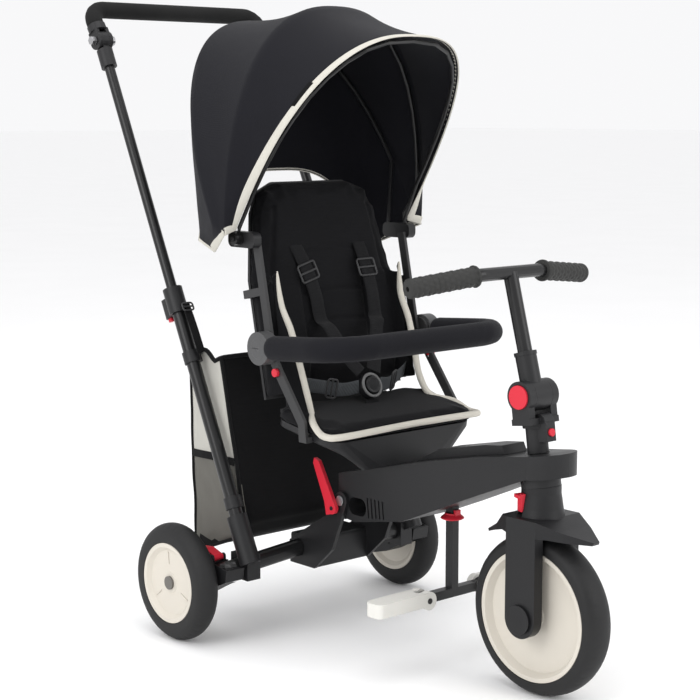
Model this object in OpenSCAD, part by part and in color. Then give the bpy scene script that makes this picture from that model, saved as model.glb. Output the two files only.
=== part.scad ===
// Folding push-along children's tricycle: beam frame, canopy seat, parent handle and storage bag.
// Lengths are in millimetres. +X points forward, +Y to the rider's left and +Z up, and Z = 0 is the
// ground. The pieces are drawn from the rear axle forward, and datum() then moves them so that the
// origin is on the ground at the middle of the whole tricycle.

/* [Wheels] */
// Diameter of each rear wheel
rear_wheel_d = 176; // [160:1:190]
// Width of each rear tyre
rear_tyre_w = 38; // [30:1:44]
// Diameter of the rear wheel discs
rear_disc_d = 120; // [100:1:134]
// Overall width across the rear tyres
track_w = 490; // [470:1:540]
// Diameter of the front wheel
front_wheel_d = 222; // [206:1:230]
// Width of the front tyre
front_tyre_w = 46; // [34:1:50]
// Diameter of the front wheel disc
front_disc_d = 180; // [150:1:190]
// Distance from the rear axle to the front axle
wheelbase = 522; // [512:1:560]
// Diameter of the wheel axles
axle_d = 10; // [8:0.5:12]
// Thickness of the wheel webs on each side of the centre plane
disc_half_t = 12; // [8:0.5:14]

/* [Beam] */
// Width of the moulded beam
beam_w = 100; // [90:1:100]
// Wall thickness of the beam shells
beam_wall = 4; // [2.5:0.5:6]
// Rear end of the beam in front of the rear axle
beam_rear_x = 165; // [160:1:168]
// Height of the raised spine above the beam
spine_h = 14; // [8:1:18]
// Width of the raised spine
spine_w = 44; // [30:1:56]
// Length of the hand hole in the beam
hand_hole_l = 38; // [28:1:40]
// Height of the hand hole in the beam
hand_hole_h = 26; // [20:1:28]
// Height of the head, where the steering axis leaves the fork
head_z = 290; // [288:1:296]
// Rake of the steering axis, leaning back
rake = 8; // [6:0.5:10]

/* [Fork and steering] */
// Gap between the front tyre and the crown
tyre_gap = 4; // [3:0.5:6]
// Thickness of each fork leg
leg_t = 16; // [12:0.5:18]
// Width of each fork leg
leg_w = 52; // [44:1:56]
// Gap between the front tyre and each fork leg
leg_gap = 5; // [3:0.5:7]
// Diameter of the axle caps
axle_cap_d = 40; // [30:1:44]
// Diameter of the steerer tube
steerer_d = 22; // [18:0.5:24]
// Wall of the steering bushes
bush_wall = 5; // [3:0.5:7]
// Height of the handlebar hinge above the head, along the steering axis
hinge_h = 118; // [112:1:130]
// Diameter of the hinge barrel
barrel_d = 42; // [38:1:46]
// Width of the hinge barrel
barrel_w = 56; // [50:1:64]
// Diameter of the round fold button
fold_button_d = 32; // [26:1:34]

/* [Handlebar] */
// Distance from the hinge to the handlebar tube
stem_l = 167; // [150:1:180]
// Lean of the stem, back from upright
stem_lean = 15.5; // [12:0.5:18]
// Diameter of the stem tube
stem_d = 20; // [16:0.5:22]
// Outer diameter of the upper sleeve
sleeve_d = 29; // [26:0.5:32]
// Diameter of the handlebar tube
bar_d = 18; // [16:0.5:20]
// Width of the handlebar over the grip ends
bar_w = 338; // [310:1:350]
// Diameter of the grips
grip_d = 27; // [24:0.5:30]
// Length of each grip
grip_l = 106; // [90:1:106]
// How far the grip ends sweep back
bar_sweep = 20; // [12:1:30]
// How far the grip ends drop
bar_drop = 12; // [6:1:18]

/* [Foot bar] */
// Thickness of the square post and the cross bar
post_t = 13; // [11:0.5:15]
// Distance from the front axle back to the post
post_back = 170; // [166:1:176]
// Height of the cross bar above the ground
cross_bar_z = 105; // [95:1:115]
// Distance from the centre plane to each foot rest hinge
foot_hinge_y = 58; // [50:1:64]
// Length of each foot rest from its hinge
foot_l = 96; // [80:1:104]
// Width of each foot rest
foot_w = 30; // [26:1:34]
// Thickness of each foot rest
foot_t = 20; // [14:1:22]

/* [Rear frame] */
// Diameter of the rear hoop tube
hoop_d = 26; // [22:1:28]
// Distance from the outside of each rear tyre in to the hoop's leg
leg_inset = 55; // [53:1:57]
// Height of the hoop at the centre
hoop_z = 126; // [122:1:130]
// Height of the fold pivot
fold_pivot_z = 215; // [213:1:218]
// Diameter of the fold pin
fold_pin_d = 8; // [6:0.5:9]
// Thickness of the bracket's cheeks
cheek_t = 6; // [4:0.5:6.5]

/* [Push handle] */
// Distance from the hoop's legs in to each push tube
push_inset = 25; // [22:1:26]
// Lean of the push tubes, back from upright
push_lean = 25.4; // [24:0.1:27]
// Outer diameter of the lower push tubes
lower_tube_d = 21; // [19:0.5:21.5]
// Diameter of the upper push tubes
upper_tube_d = 16; // [13:0.5:17]
// Length of the lower push tubes
lower_tube_l = 392; // [370:1:410]
// Distance from the foot of the push tubes to the elbow pivots
push_l = 826; // [800:1:850]
// Lean of the handle above the elbows, back from upright
handle_lean = 34; // [30:1:38]
// Length of the handle above the elbows
handle_l = 60; // [54:1:66]
// Diameter of the foam on the handle
foam_d = 27; // [23:1:30]

/* [Seat] */
// Width of the seat cushion
seat_w = 292; // [270:1:310]
// Length of the seat cushion
seat_l = 138; // [130:1:142]
// Thickness of the seat cushion
seat_t = 20; // [14:1:21]
// Height of the seat cushion's front edge
seat_front_z = 341; // [338:1:344]
// Front edge of the seat cushion in front of the rear axle
seat_front_x = 264; // [260:1:268]
// Fall of the seat towards the front
seat_tilt = 9.5; // [8:0.5:11]
// Lean of the back, back from upright
back_lean = 12; // [10:0.5:14]
// Length of the back cushion
back_l = 320; // [290:1:326]
// How much narrower the back cushion is at the top
back_taper = 46; // [38:1:70]
// Thickness of the back cushion
back_t = 24; // [16:1:26]
// Width of the shoulder straps
strap_w = 24; // [18:1:30]
// Diameter of the harness buckle
buckle_d = 40; // [32:1:44]

/* [Bumper bar] */
// How far the middle of the bar's sides stands outside the seat rails
bumper_side = 17; // [17:1:23]
// Reach of the bar in front of its pivots
bumper_l = 172; // [160:1:180]
// Diameter of the foam on the bar
bumper_foam_d = 36; // [28:1:38]
// Diameter of the end discs
bumper_disc_d = 48; // [42:1:50]

/* [Canopy] */
// How far the front rim stands outside the pods on each side
rim_side = 10; // [8:1:16]
// How far the middle of the canopy stands outside the pods
rib_side = 35; // [26:1:42]
// How far the rear of the canopy stands outside the pods
rear_side = 39; // [30:1:46]
// Height of the front rim along its own plane
rim_h = 330; // [320:1:344]
// Height of the middle rib along its own plane
rib_h = 323; // [310:1:330]
// Height of the rear rib along its own plane
rear_rib_h = 337; // [320:1:350]
// Thickness of the canopy fabric
canopy_t = 2.4; // [1.5:0.1:4]

/* [Bag] */
// Distance from the middle of each push tube in to the bag's side
bag_inset = 15; // [15:1:30]
// Height of the bag's top edge above the ground
bag_top_z = 425; // [415:1:435]
// Thickness of the bag's walls
bag_wall = 4; // [2:0.5:6]

/* [Fits] */
// Radial clearance of shafts, pins and sleeves in their holes
fit_c = 0.05; // [0.02:0.01:0.08]
// Gap between pieces that move past each other
move_gap = 0.4; // [0.3:0.05:0.8]

/* [Hidden] */
$fn = 48;

// wheels and axles
rear_r = rear_wheel_d / 2;
front_r = front_wheel_d / 2;
rear_wheel_y = track_w / 2 - rear_tyre_w / 2;
hub_half_w = 13;
rear_hub_d = 30;

// beam outline, seen from the side
head_x = wheelbase - 4;
post_x = wheelbase - post_back;
beam_half = beam_w / 2;
beam_low_z = 190;
beam_top_z = 254;
beam_top_slope = 14;
knee_x = post_x - 5;
knee_z = beam_top_z + (knee_x - beam_rear_x) * tan(beam_top_slope);
brow_x = head_x - 74;
brow_z = head_z + 30;
nose_top_z = head_z + 48;
nose_x = head_x + 50;
nose_r = 39;
beam_top_line = [[beam_rear_x, beam_top_z], [knee_x, knee_z], [brow_x, brow_z]];
beam_low_line = [
    [head_x + 5, head_z + 10], [head_x - 78, head_z - 25], [post_x + 8, beam_low_z + 40],
    [post_x - 52, beam_low_z + 15], [beam_rear_x + 35, beam_low_z - 4]
];
hand_hole_x = beam_rear_x + 41;
hand_hole_z = beam_low_z + 20;
spine_rear_x = post_x - 52;
spine_front_x = head_x - 46;

// fold pivot of the rear frame
fold_pivot_x = beam_rear_x + 11;
boss_wall = 9;

// steering
crown_z = front_wheel_d + tyre_gap;
neck_x = wheelbase - 3;
leg_in = front_tyre_w / 2 + leg_gap;
leg_out = leg_in + leg_t;
neck_top_d = 54;
ring_h = 13;
bush_d = steerer_d + 2 * bush_wall;
beam_top_in_head = 40.6;
sleeve_foot = beam_top_in_head + move_gap;
lower_sleeve_d = steerer_d + 7;
collar_foot = hinge_h - 43;
yoke_foot = hinge_h - 30;
knuckle_w = barrel_w - 25;
hinge_pin_d = 8;
hinge_x = head_x - hinge_h * sin(rake);
hinge_z = head_z + hinge_h * cos(rake);

// pocket in the fork's neck, in which the lock tab slides
lock_angle = -112;
lock_w = 12;
lock_z = head_z - 36;
lock_l = 24;
lock_travel = 5;
lock_back_r = 25;

// handlebar, from the middle to the left end
bar_bend_r = 40;
bar_end = [-bar_sweep, bar_w / 2 - 4, -bar_drop];
bar_bend = [0, 56, 0];
grip_dir = (bar_end - bar_bend) / norm(bar_end - bar_bend);

// foot bar
socket_top_z = knee_z - 13;
catch_z = beam_low_z + 21;
catch_slack = 0.7;
catch_window = post_t + 2 * catch_slack;
foot_pin_d = 6;
foot_knuckle_d = 26;
tongue_w = 9;
cross_half_l = foot_hinge_y - foot_knuckle_d / 2 - 1;

// rear frame
hoop_leg_y = track_w / 2 - leg_inset;
push_y = hoop_leg_y - push_inset;
hoop_x = 80;
hub_boss_w = 26;
cover_in_y = hoop_leg_y - hoop_d / 2 - 5;
cover_out_y = rear_wheel_y - rear_tyre_w / 2 - 2;
hoop_bend_r = 22;
hoop_corner_x = 74;
hoop_flat_y = 62;
hoop_path = across_path([
    [7, hoop_leg_y, rear_r + 1],
    [hoop_corner_x, hoop_leg_y, hoop_z - 13],
    [hoop_x, hoop_flat_y, hoop_z]
]);
cheek_outline = [
    [hoop_x - 20, hoop_z - 26], [hoop_x + 36, hoop_z - 26], [fold_pivot_x - 20, hoop_z + 10],
    [fold_pivot_x + 11, fold_pivot_z - 7], [fold_pivot_x - 2, fold_pivot_z + 12.5],
    [fold_pivot_x - 34, hoop_z + 60], [hoop_x - 8, hoop_z + 18], [hoop_x - 22, hoop_z + 8]
];
cover_outline = [
    [-24, rear_r - 16], [-24, rear_r + 8], [-6, rear_r + 24], [30, rear_r + 33], [64, rear_r + 35],
    [94, rear_r + 30], [91, rear_r + 12], [60, rear_r - 2], [30, rear_r - 18], [0, rear_r - 26]
];
brake_x = 50;
brake_z = rear_r + 40;
lever_x = fold_pivot_x - 10;
lever_z = fold_pivot_z - 12;
lever_t = 6;
lever_in_y = beam_half + cheek_t + 3 + move_gap;

// push handle
push_foot_x = hoop_x + 9;
push_foot_z = hoop_z + 19;
push_socket_d = lower_tube_d + 10;
push_socket_foot = -24;
collar_l = 40;
collar_d = lower_tube_d + 9;
elbow_x = push_foot_x - push_l * sin(push_lean);
elbow_z = push_foot_z + push_l * cos(push_lean);
handle_x = elbow_x - handle_l * sin(handle_lean);
handle_z = elbow_z + handle_l * cos(handle_lean);
handle_tube_d = 16;
elbow_t = 11;
elbow_cheek_t = 6;
handle_bend_r = 24;
handle_corner = handle_at(handle_l);

// seat and back
recline_x = 110;
recline_z = 346;
recline_pin_d = 8;
pan_t = 9;
pan_wall = 3.5;
back_panel_t = 5;
back_x0 = -4;
back_foot = 20;
rail_t = 5;
rail_w = 14;
lower_rail_y = seat_w / 2 + 1;
upper_rail_y = lower_rail_y - rail_t - 1;
pod_in_y = upper_rail_y + rail_t;
back_w = 2 * (upper_rail_y - 2);
back_top_w = back_w - back_taper;
back_edge = 0.97;
lug_places = [100, 170];
back_outline = [
    [-back_w / 2, 0], [-back_w / 2, back_l * 0.55], [-back_top_w / 2 - 4, back_l * 0.86],
    [-back_top_w / 2 + 14, back_l * 0.96], [-back_top_w / 2 + 44, back_l],
    [back_top_w / 2 - 44, back_l], [back_top_w / 2 - 14, back_l * 0.96],
    [back_top_w / 2 + 4, back_l * 0.86], [back_w / 2, back_l * 0.55], [back_w / 2, 0]
];
buckle_x = seat_front_x - 86;
buckle_z = seat_front_z + 39;

// bumper bar
bumper_x = recline_x + 18;
bumper_z = recline_z + 100;
bumper_y = lower_rail_y + bumper_side;
rail_drop = 128;
rail_reach = 68;
bumper_pin_d = 10;
bumper_tube_d = 12;
bumper_in_y = lower_rail_y + rail_t + move_gap;
bumper_out_y = bumper_in_y + 19;
bumper_bend_r = 58;
bumper_corner = [bumper_x + bumper_l, bumper_y, bumper_z + 14];
bumper_bar_start = [bumper_x + 16, bumper_y, bumper_z + 2];
bumper_foam_start = bumper_bar_start + (bumper_disc_d / 2 - 15) * way([bumper_bar_start, bumper_corner], 0);
button_x = bumper_x + 20;
button_z = bumper_z - 34;
button_travel = 3;
button_in_y = lower_rail_y + rail_t + move_gap;
button_out_y = button_in_y + 5;

// canopy pivots, at the top of the rails in the frame of the back
canopy_fwd = 18.57;
canopy_up = 255.73;
canopy_x = recline_x + canopy_fwd * cos(back_lean) - canopy_up * sin(back_lean);
canopy_z = recline_z + canopy_fwd * sin(back_lean) + canopy_up * cos(back_lean);
pod_out_y = upper_rail_y + 19;
rim_eye_y = pod_out_y + 0.6;
rib_eye_y = rim_eye_y + 6.4;
eye_t = 5.6;
rib_tube_d = 6;
rim_knee = [3, 16];
rib_knee = [-4, 24];
rib_inset = canopy_t + rib_tube_d / 2 + 5;

// each arch is foot x, foot z, half width, height, angle of its plane, squareness and bow
rim_arch = [canopy_x + 5, canopy_z + 19, pod_out_y + rim_side, rim_h, 57.2, 2.63, 20];
rib_arch = [canopy_x + 9, canopy_z + 12, pod_out_y + rib_side, rib_h, 86.6, 2.44, 0];
rear_arch = [canopy_x - 13, canopy_z + 19, pod_out_y + rear_side, rear_rib_h, 116.4, 2.3, 0];
canopy_c = [canopy_x - 15, 0, canopy_z + 100];
rear_rib_c = [canopy_x + 25, 0, canopy_z + 190];

// flap under the canopy's sides: it starts at the ribs and hangs lowest behind the pods
flap_start = [canopy_x + 3, pod_out_y + rib_side - 6, canopy_z + 5];
flap_tip = [canopy_x - 53, pod_out_y + 6, canopy_z - 22];
flap_rear = [canopy_x - 92, pod_out_y + 6, canopy_z - 7];
arch_steps = 20;
panel_steps = 5;
fabric_rows = 3 * panel_steps + 1;
fabric_cols = arch_steps + 3;
fabric_n = fabric_rows * fabric_cols;
fabric_outer = [for (r = [0 : fabric_rows - 1]) for (p = fabric_row(r / panel_steps)) p];
fabric_inner = [for (p = fabric_outer) drawn_in(p, canopy_t)];

// bag, seen from the side
bag_w = 2 * (push_y - bag_inset);
bag_foot_z = 118;
bag_rear_x = -73;
bag_front_x = 65;
bag_side = [
    [bag_rear_x, bag_top_z - 47], [bag_rear_x + 35, bag_top_z], [bag_rear_x + 80, bag_top_z - 7],
    [bag_front_x, bag_foot_z + 60], [bag_front_x - 19, bag_foot_z + 40],
    [bag_front_x - 25, bag_foot_z + 28], [bag_rear_x + 33, bag_foot_z], [bag_rear_x + 10, bag_foot_z]
];
bag_inside = [
    [bag_rear_x + bag_wall, bag_top_z - 49], [bag_rear_x + 29, bag_top_z + 35],
    [bag_rear_x + 93, bag_top_z + 35], [bag_rear_x + 80 - bag_wall, bag_top_z - 9],
    [bag_front_x - bag_wall - 1, bag_foot_z + 62], [bag_front_x - 25, bag_foot_z + 44 + bag_wall],
    [bag_rear_x + 33, bag_foot_z + bag_wall], [bag_rear_x + 10 + bag_wall, bag_foot_z + bag_wall]
];
clip_places = [bag_foot_z + 82, bag_top_z - 18];

// the whole tricycle
front_reach = wheelbase + front_r;
rear_reach = handle_x - foam_d / 2;
origin_x = (front_reach + rear_reach) / 2;

screw_d = 4;
screw_places = [
    [beam_rear_x + 70, beam_top_z - 4], [post_x - post_t / 2 - 10, beam_top_z + 16],
    [head_x - 38, head_z + 15]
];

// reach of the blocks that only cut other pieces
far = 400;

// ---------- shared shapes ----------

module datum() {
    translate([-origin_x, 0, 0]) children();
}

module both_sides() {
    children();
    mirror([0, 1, 0]) children();
}

// a round bar from point p to point q
module rod(p, q, d) {
    v = q - p;
    translate(p) rotate([0, acos(v[2] / norm(v)), atan2(v[1], v[0])]) cylinder(h = norm(v), d = d);
}

// unit direction of each stretch of a path, and the angle of the bend at each inner point
function way(pts, i) = (pts[i + 1] - pts[i]) / norm(pts[i + 1] - pts[i]);
function turn(pts, i) = acos(way(pts, i - 1) * way(pts, i));
function setback(pts, i, r) = i == 0 || i == len(pts) - 1 ? 0 : r * tan(turn(pts, i) / 2);

// a path across the tricycle from its left half, which starts at the left end
function across_path(half) = concat(
    half, [for (i = [len(half) - 1 : -1 : 0]) [half[i][0], -half[i][1], half[i][2]]]
);

// a path with each inner point rounded to radius r
function arc_points(pts, i, r, steps) =
    let (
        a = way(pts, i - 1),
        v = way(pts, i) - cos(turn(pts, i)) * a,
        m = v / norm(v),
        c = pts[i] - setback(pts, i, r) * a + r * m
    ) [for (k = [0 : steps]) let (f = turn(pts, i) * k / steps) c - r * cos(f) * m + r * sin(f) * a];
function bent_path(pts, r, steps = 6) = concat(
    [pts[0]],
    [for (i = [1 : len(pts) - 2]) for (p = arc_points(pts, i, r, steps)) p],
    [pts[len(pts) - 1]]
);

// a disc or bar across the tricycle, from y0 to y1
module across(x, z, d, y0, y1) {
    translate([x, y0, z]) rotate([-90, 0, 0]) cylinder(h = y1 - y0, d = d);
}

// an outline drawn in X and Z, extruded across the tricycle from y0 to y1
module side_plate(y0, y1) {
    translate([0, y1, 0]) rotate([90, 0, 0]) linear_extrude(y1 - y0) children();
}

// a rectangle with round corners
module round_rect(x0, y0, x1, y1, r) {
    translate([x0 + r, y0]) square([x1 - x0 - 2 * r, y1 - y0]);
    translate([x0, y0 + r]) square([x1 - x0, y1 - y0 - 2 * r]);
    for (x = [x0 + r, x1 - r], y = [y0 + r, y1 - r]) translate([x, y]) circle(r);
}

// points of a bar's surface: rings of the given number of sides along a list of points
function ring_dir(pts, i) =
    let (a = pts[max(i - 1, 0)], b = pts[min(i + 1, len(pts) - 1)]) (b - a) / norm(b - a);
function ring_side(t) = let (s = cross(t, [0.31, 0.17, 1])) s / norm(s);
function ring_points(pts, r, sides) = [
    for (i = [0 : len(pts) - 1])
        let (t = ring_dir(pts, i), u = ring_side(t), v = cross(t, u))
        for (k = [0 : sides - 1])
            pts[i] + r * (cos(360 * k / sides) * u + sin(360 * k / sides) * v)
];

function ring_faces(n, sides, first) = [
    for (i = [0 : n - 2], k = [0 : sides - 1])
        let (p = first + i * sides, q = p + sides, j = (k + 1) % sides)
            each [[p + k, q + k, q + j], [p + k, q + j, p + j]]
];
function end_faces(sides, outer, inner) = [
    for (k = [0 : sides - 1])
        let (j = (k + 1) % sides)
            each [[outer + k, outer + j, inner + j], [outer + k, inner + j, inner + k]]
];
function flip(faces) = [for (f = faces) [f[0], f[2], f[1]]];

// a solid bar swept along many points
module swept_bar(pts, d, sides = 10) {
    n = len(pts);
    polyhedron(
        points = ring_points(pts, d / 2, sides),
        faces = concat(
            [[for (k = [0 : sides - 1]) k]],
            [[for (k = [sides - 1 : -1 : 0]) (n - 1) * sides + k]],
            ring_faces(n, sides, 0)
        )
    );
}

// a tube or a foam sleeve swept along many points
module swept_tube(pts, d, bore, sides = 16) {
    n = len(pts);
    polyhedron(
        points = concat(ring_points(pts, d / 2, sides), ring_points(pts, bore / 2, sides)),
        faces = concat(
            ring_faces(n, sides, 0),
            flip(ring_faces(n, sides, n * sides)),
            end_faces(sides, 0, n * sides),
            flip(end_faces(sides, (n - 1) * sides, (2 * n - 1) * sides))
        )
    );
}

// the frame of the steering axis, with Z up the steerer
module steering() {
    translate([head_x, 0, head_z]) rotate([0, -rake, 0]) children();
}

// the frame of the stem, with Z up the stem from the hinge
module stem() {
    translate([hinge_x, 0, hinge_z]) rotate([0, -stem_lean, 0]) children();
}

// the frame of a push tube on the rider's left, with Z up the tube
module push() {
    translate([push_foot_x, push_y, push_foot_z]) rotate([0, -push_lean, 0]) children();
}

// the frame of the seat, with X forward along the cushion's top and its front edge at 0
module seat() {
    translate([seat_front_x, 0, seat_front_z]) rotate([0, seat_tilt, 0]) children();
}

// the frame of the back, with Z up the back from the recline pin
module back() {
    translate([recline_x, 0, recline_z]) rotate([0, -back_lean, 0]) children();
}

// ---------- wheels ----------

module tyre(outer_r, seat_r, w) {
    rotate([90, 0, 0]) rotate_extrude($fn = 96) polygon(concat(
        [for (a = [0 : 15 : 180]) [seat_r + (outer_r - seat_r) * pow(sin(a), 0.62), -w / 2 * cos(a)]],
        [[seat_r, w / 2], [seat_r, -w / 2]]
    ));
}

module wheel_disc(r, tyre_w, hub_d) {
    web = min(disc_half_t, tyre_w / 2 - 3);
    rim = tyre_w / 2 - 1;
    rotate([90, 0, 0]) rotate_extrude($fn = 96) polygon([
        [axle_d / 2 + fit_c, -hub_half_w], [hub_d / 2, -hub_half_w], [hub_d / 2 + 1, -web],
        [r - 12, -web], [r - 6, -rim], [r, -rim], [r, rim], [r - 6, rim], [r - 12, web],
        [hub_d / 2 + 1, web], [hub_d / 2, hub_half_w], [axle_d / 2 + fit_c, hub_half_w]
    ]);
}

module rear_tyre() {
    translate([0, rear_wheel_y, rear_r]) tyre(rear_r, rear_disc_d / 2 + fit_c, rear_tyre_w);
}

module rear_disc() {
    translate([0, rear_wheel_y, rear_r]) wheel_disc(rear_disc_d / 2, rear_tyre_w, rear_hub_d);
}

module rear_tyre_right() {
    datum() color("#242424") mirror([0, 1, 0]) rear_tyre();
}

module rear_tyre_left() {
    datum() color("#242424") rear_tyre();
}

module rear_disc_right() {
    datum() color("#d8d4c8") mirror([0, 1, 0]) rear_disc();
}

module rear_disc_left() {
    datum() color("#d8d4c8") rear_disc();
}

module front_tyre() {
    datum() color("#242424") translate([wheelbase, 0, front_r])
        tyre(front_r, front_disc_d / 2 + fit_c, front_tyre_w);
}

module front_disc() {
    datum() color("#d8d4c8") translate([wheelbase, 0, front_r])
        wheel_disc(front_disc_d / 2, front_tyre_w, rear_hub_d);
}

// a stub axle on each side, with a round cap outside the wheel
module rear_axles() {
    cap_y = rear_wheel_y + hub_half_w + move_gap;
    datum() color("#9a9a9a") both_sides() {
        across(0, rear_r, axle_d, hoop_leg_y - hub_boss_w / 2 + 2, cap_y + 3);
        across(0, rear_r, axle_d + 10, cap_y, cap_y + 3);
    }
}

// ---------- beam ----------

module beam_outline() {
    polygon(concat(
        [[beam_rear_x, beam_low_z]],
        beam_top_line,
        [[nose_x, nose_top_z], [nose_x, head_z + 16]],
        beam_low_line
    ));
}

// a hollow of the beam from x0 to x1, seen from the side, one wall inside the outline
module beam_cell(x0, x1) {
    w = beam_wall + 1;
    polygon([
        [x0, lookup(x0, beam_low_line) + w], [x1, lookup(x1, beam_low_line) + w],
        [x1, lookup(x1, beam_top_line) - w], [x0, lookup(x0, beam_top_line) - w]
    ]);
}

// plan of the beam: full width to the rear, narrowing to a round nose
module beam_plan() {
    polygon([
        [beam_rear_x, -beam_half], [head_x - 100, -beam_half], [head_x + 8, -nose_r],
        [head_x + 8, nose_r], [head_x - 100, beam_half], [beam_rear_x, beam_half]
    ]);
    translate([head_x + 11, 0]) circle(nose_r);
}

module hand_hole_cut() {
    translate([0, -beam_half - 1, 0]) side_plate(0, beam_w + 2)
        round_rect(
            hand_hole_x - hand_hole_l / 2, hand_hole_z - hand_hole_h / 2,
            hand_hole_x + hand_hole_l / 2, hand_hole_z + hand_hole_h / 2, 12
        );
}

// five shallow grooves in front of the hand hole
module grip_grooves() {
    for (i = [0 : 4]) side_plate(beam_half - 2.5, beam_half + 1)
        polygon([
            [hand_hole_x + hand_hole_l / 2 + 4 + 8 * i, hand_hole_z - hand_hole_h / 2 + i],
            [hand_hole_x + hand_hole_l / 2 + 7 + 8 * i, hand_hole_z - hand_hole_h / 2 + i],
            [hand_hole_x + hand_hole_l / 2 + 4 + 8 * i, hand_hole_z + hand_hole_h / 2 + 4],
            [hand_hole_x + hand_hole_l / 2 + 1 + 8 * i, hand_hole_z + hand_hole_h / 2 + 4]
        ]);
}

module beam_half_shell() {
    difference() {
        intersection() {
            side_plate(0, beam_half + 1) beam_outline();
            linear_extrude(nose_top_z + 50) beam_plan();
        }
        side_plate(-1, beam_half - beam_wall)
            beam_cell(hand_hole_x + hand_hole_l / 2 + 44, post_x - post_t / 2 - 18);
        side_plate(-1, nose_r - beam_wall) beam_cell(post_x + post_t / 2 + 6, spine_front_x);
        hand_hole_cut();
        grip_grooves();
        across(fold_pivot_x, fold_pivot_z, fold_pin_d + 2 * fit_c, -1, beam_half + 2);
        steering() translate([0, 0, -30]) cylinder(h = 140, d = bush_d + 2 * fit_c);
        steering() translate([0, 0, -30]) cylinder(h = 30 + ring_h - 3, d = neck_top_d + 4);
        post_socket();
        for (p = screw_places) across(p[0], p[1], screw_d + 2 * fit_c, -1, beam_half - 10);
    }
}

module post_socket() {
    side = post_t + 0.6;
    translate([post_x - side / 2, -side / 2, cross_bar_z]) cube([side, side, socket_top_z - cross_bar_z]);
}

module beam_shell_right() {
    datum() color("#3a3a3c") mirror([0, 1, 0]) beam_half_shell();
}

module beam_shell_left() {
    datum() color("#3a3a3c") beam_half_shell();
}

// raised spine along the top of the beam
module spine_cover() {
    datum() color("#333335") side_plate(-spine_w / 2, spine_w / 2) polygon([
        [spine_rear_x, beam_top_z + (spine_rear_x - beam_rear_x) * tan(beam_top_slope)],
        [knee_x, knee_z], [brow_x, brow_z],
        [spine_front_x, brow_z + (spine_front_x - brow_x) * (nose_top_z - brow_z) / (nose_x - brow_x)],
        [spine_front_x - 6, brow_z + 2 + spine_h], [brow_x - 10, brow_z - 2 + spine_h],
        [knee_x, knee_z + spine_h], [spine_rear_x + 20, knee_z - 7 + spine_h / 2]
    ]);
}

module head_bushes() {
    datum() color("#c9c9c4") steering() for (z = [12, beam_top_in_head - 12])
        translate([0, 0, z]) difference() {
            cylinder(h = 11, d = bush_d);
            translate([0, 0, -1]) cylinder(h = 13, d = steerer_d + 2 * fit_c);
        }
}

// screws that hold the two shells together, and the pin on which the rear frame folds
module body_fasteners() {
    pin_end = beam_half + cheek_t + 3;
    datum() color("#8a8a8a") {
        for (p = screw_places) across(p[0], p[1], screw_d, 10 - beam_half, beam_half - 12);
        across(fold_pivot_x, fold_pivot_z, fold_pin_d, -pin_end, pin_end);
        both_sides() across(fold_pivot_x, fold_pivot_z, fold_pin_d + 7, pin_end - 2, pin_end);
    }
}

// ---------- fork and steering ----------

// arched mudguard outline: pointed at the front and the rear, hollow over the tyre
module crown_outline() {
    polygon([
        [wheelbase - 95, crown_z - 14], [wheelbase - 60, crown_z + 3], [wheelbase - 38, crown_z + 22],
        [wheelbase + 26, crown_z + 22], [wheelbase + 56, crown_z + 12], [wheelbase + 94, crown_z + 1],
        [wheelbase + 92, crown_z - 3], [wheelbase + 66, crown_z - 2], [wheelbase + 40, crown_z],
        [wheelbase - 40, crown_z], [wheelbase - 66, crown_z - 8], [wheelbase - 92, crown_z - 17]
    ]);
}

module crown_plan() {
    polygon([
        [wheelbase - 96, -5], [wheelbase - 60, -26], [wheelbase - 26, -leg_out], [wheelbase + 26, -leg_out],
        [wheelbase + 60, -28], [wheelbase + 95, -5], [wheelbase + 95, 5], [wheelbase + 60, 28],
        [wheelbase + 26, leg_out], [wheelbase - 26, leg_out], [wheelbase - 60, 26], [wheelbase - 96, 5]
    ]);
}

module fork_leg() {
    side_plate(leg_in, leg_out) {
        translate([wheelbase - leg_w / 2, front_r]) square([leg_w, crown_z + 4 - front_r]);
        translate([wheelbase, front_r]) circle(leg_w / 2);
    }
}

// the side of the neck with the lock tab's pocket
module neck_side() {
    translate([neck_x, 0, 0]) rotate([0, 0, lock_angle]) children();
}

module fork() {
    datum() color("#2b2b2d") difference() {
        union() {
            intersection() {
                side_plate(-leg_out, leg_out) crown_outline();
                linear_extrude(crown_z + 60) crown_plan();
            }
            both_sides() fork_leg();
            translate([neck_x, 0, 0]) rotate_extrude() polygon([
                [0, crown_z + 1], [40, crown_z + 1], [35, crown_z + 12], [30, crown_z + 32],
                [neck_top_d / 2, head_z - 12], [neck_top_d / 2, head_z + 12], [0, head_z + 12]
            ]);
        }
        steering() translate([-nose_x + head_x - 10, -beam_half, -4]) cube([beam_w + 20, beam_w, far]);
        steering() translate([0, 0, 4 - (head_z - crown_z) + 8]) cylinder(h = 100, d = steerer_d + 2 * fit_c);
        both_sides() across(wheelbase, front_r, axle_d + 2 * fit_c, leg_in - 1, leg_out + 1);
        neck_side() translate([lock_back_r, -lock_w / 2 - 0.3, lock_z - lock_travel - 0.5])
            cube([20, lock_w + 0.6, lock_l + lock_travel + 1]);
    }
}

module fork_lock_tab() {
    datum() color("#c8303a") neck_side() {
        translate([lock_back_r + 0.3, -lock_w / 2, lock_z]) cube([7, lock_w, lock_l]);
        translate([lock_back_r + 5, -lock_w / 2 - 3, lock_z + lock_l - 6]) cube([6, lock_w + 3, 5]);
    }
}

// front axle with a round cap against each leg
module front_axle() {
    datum() color("#1f1f20") translate([wheelbase, 0, front_r]) {
        across(0, 0, axle_d, -leg_out - 3, leg_out + 3);
        both_sides() across(0, 0, axle_cap_d, leg_out + 0.1, leg_out + 4);
    }
}

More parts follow.
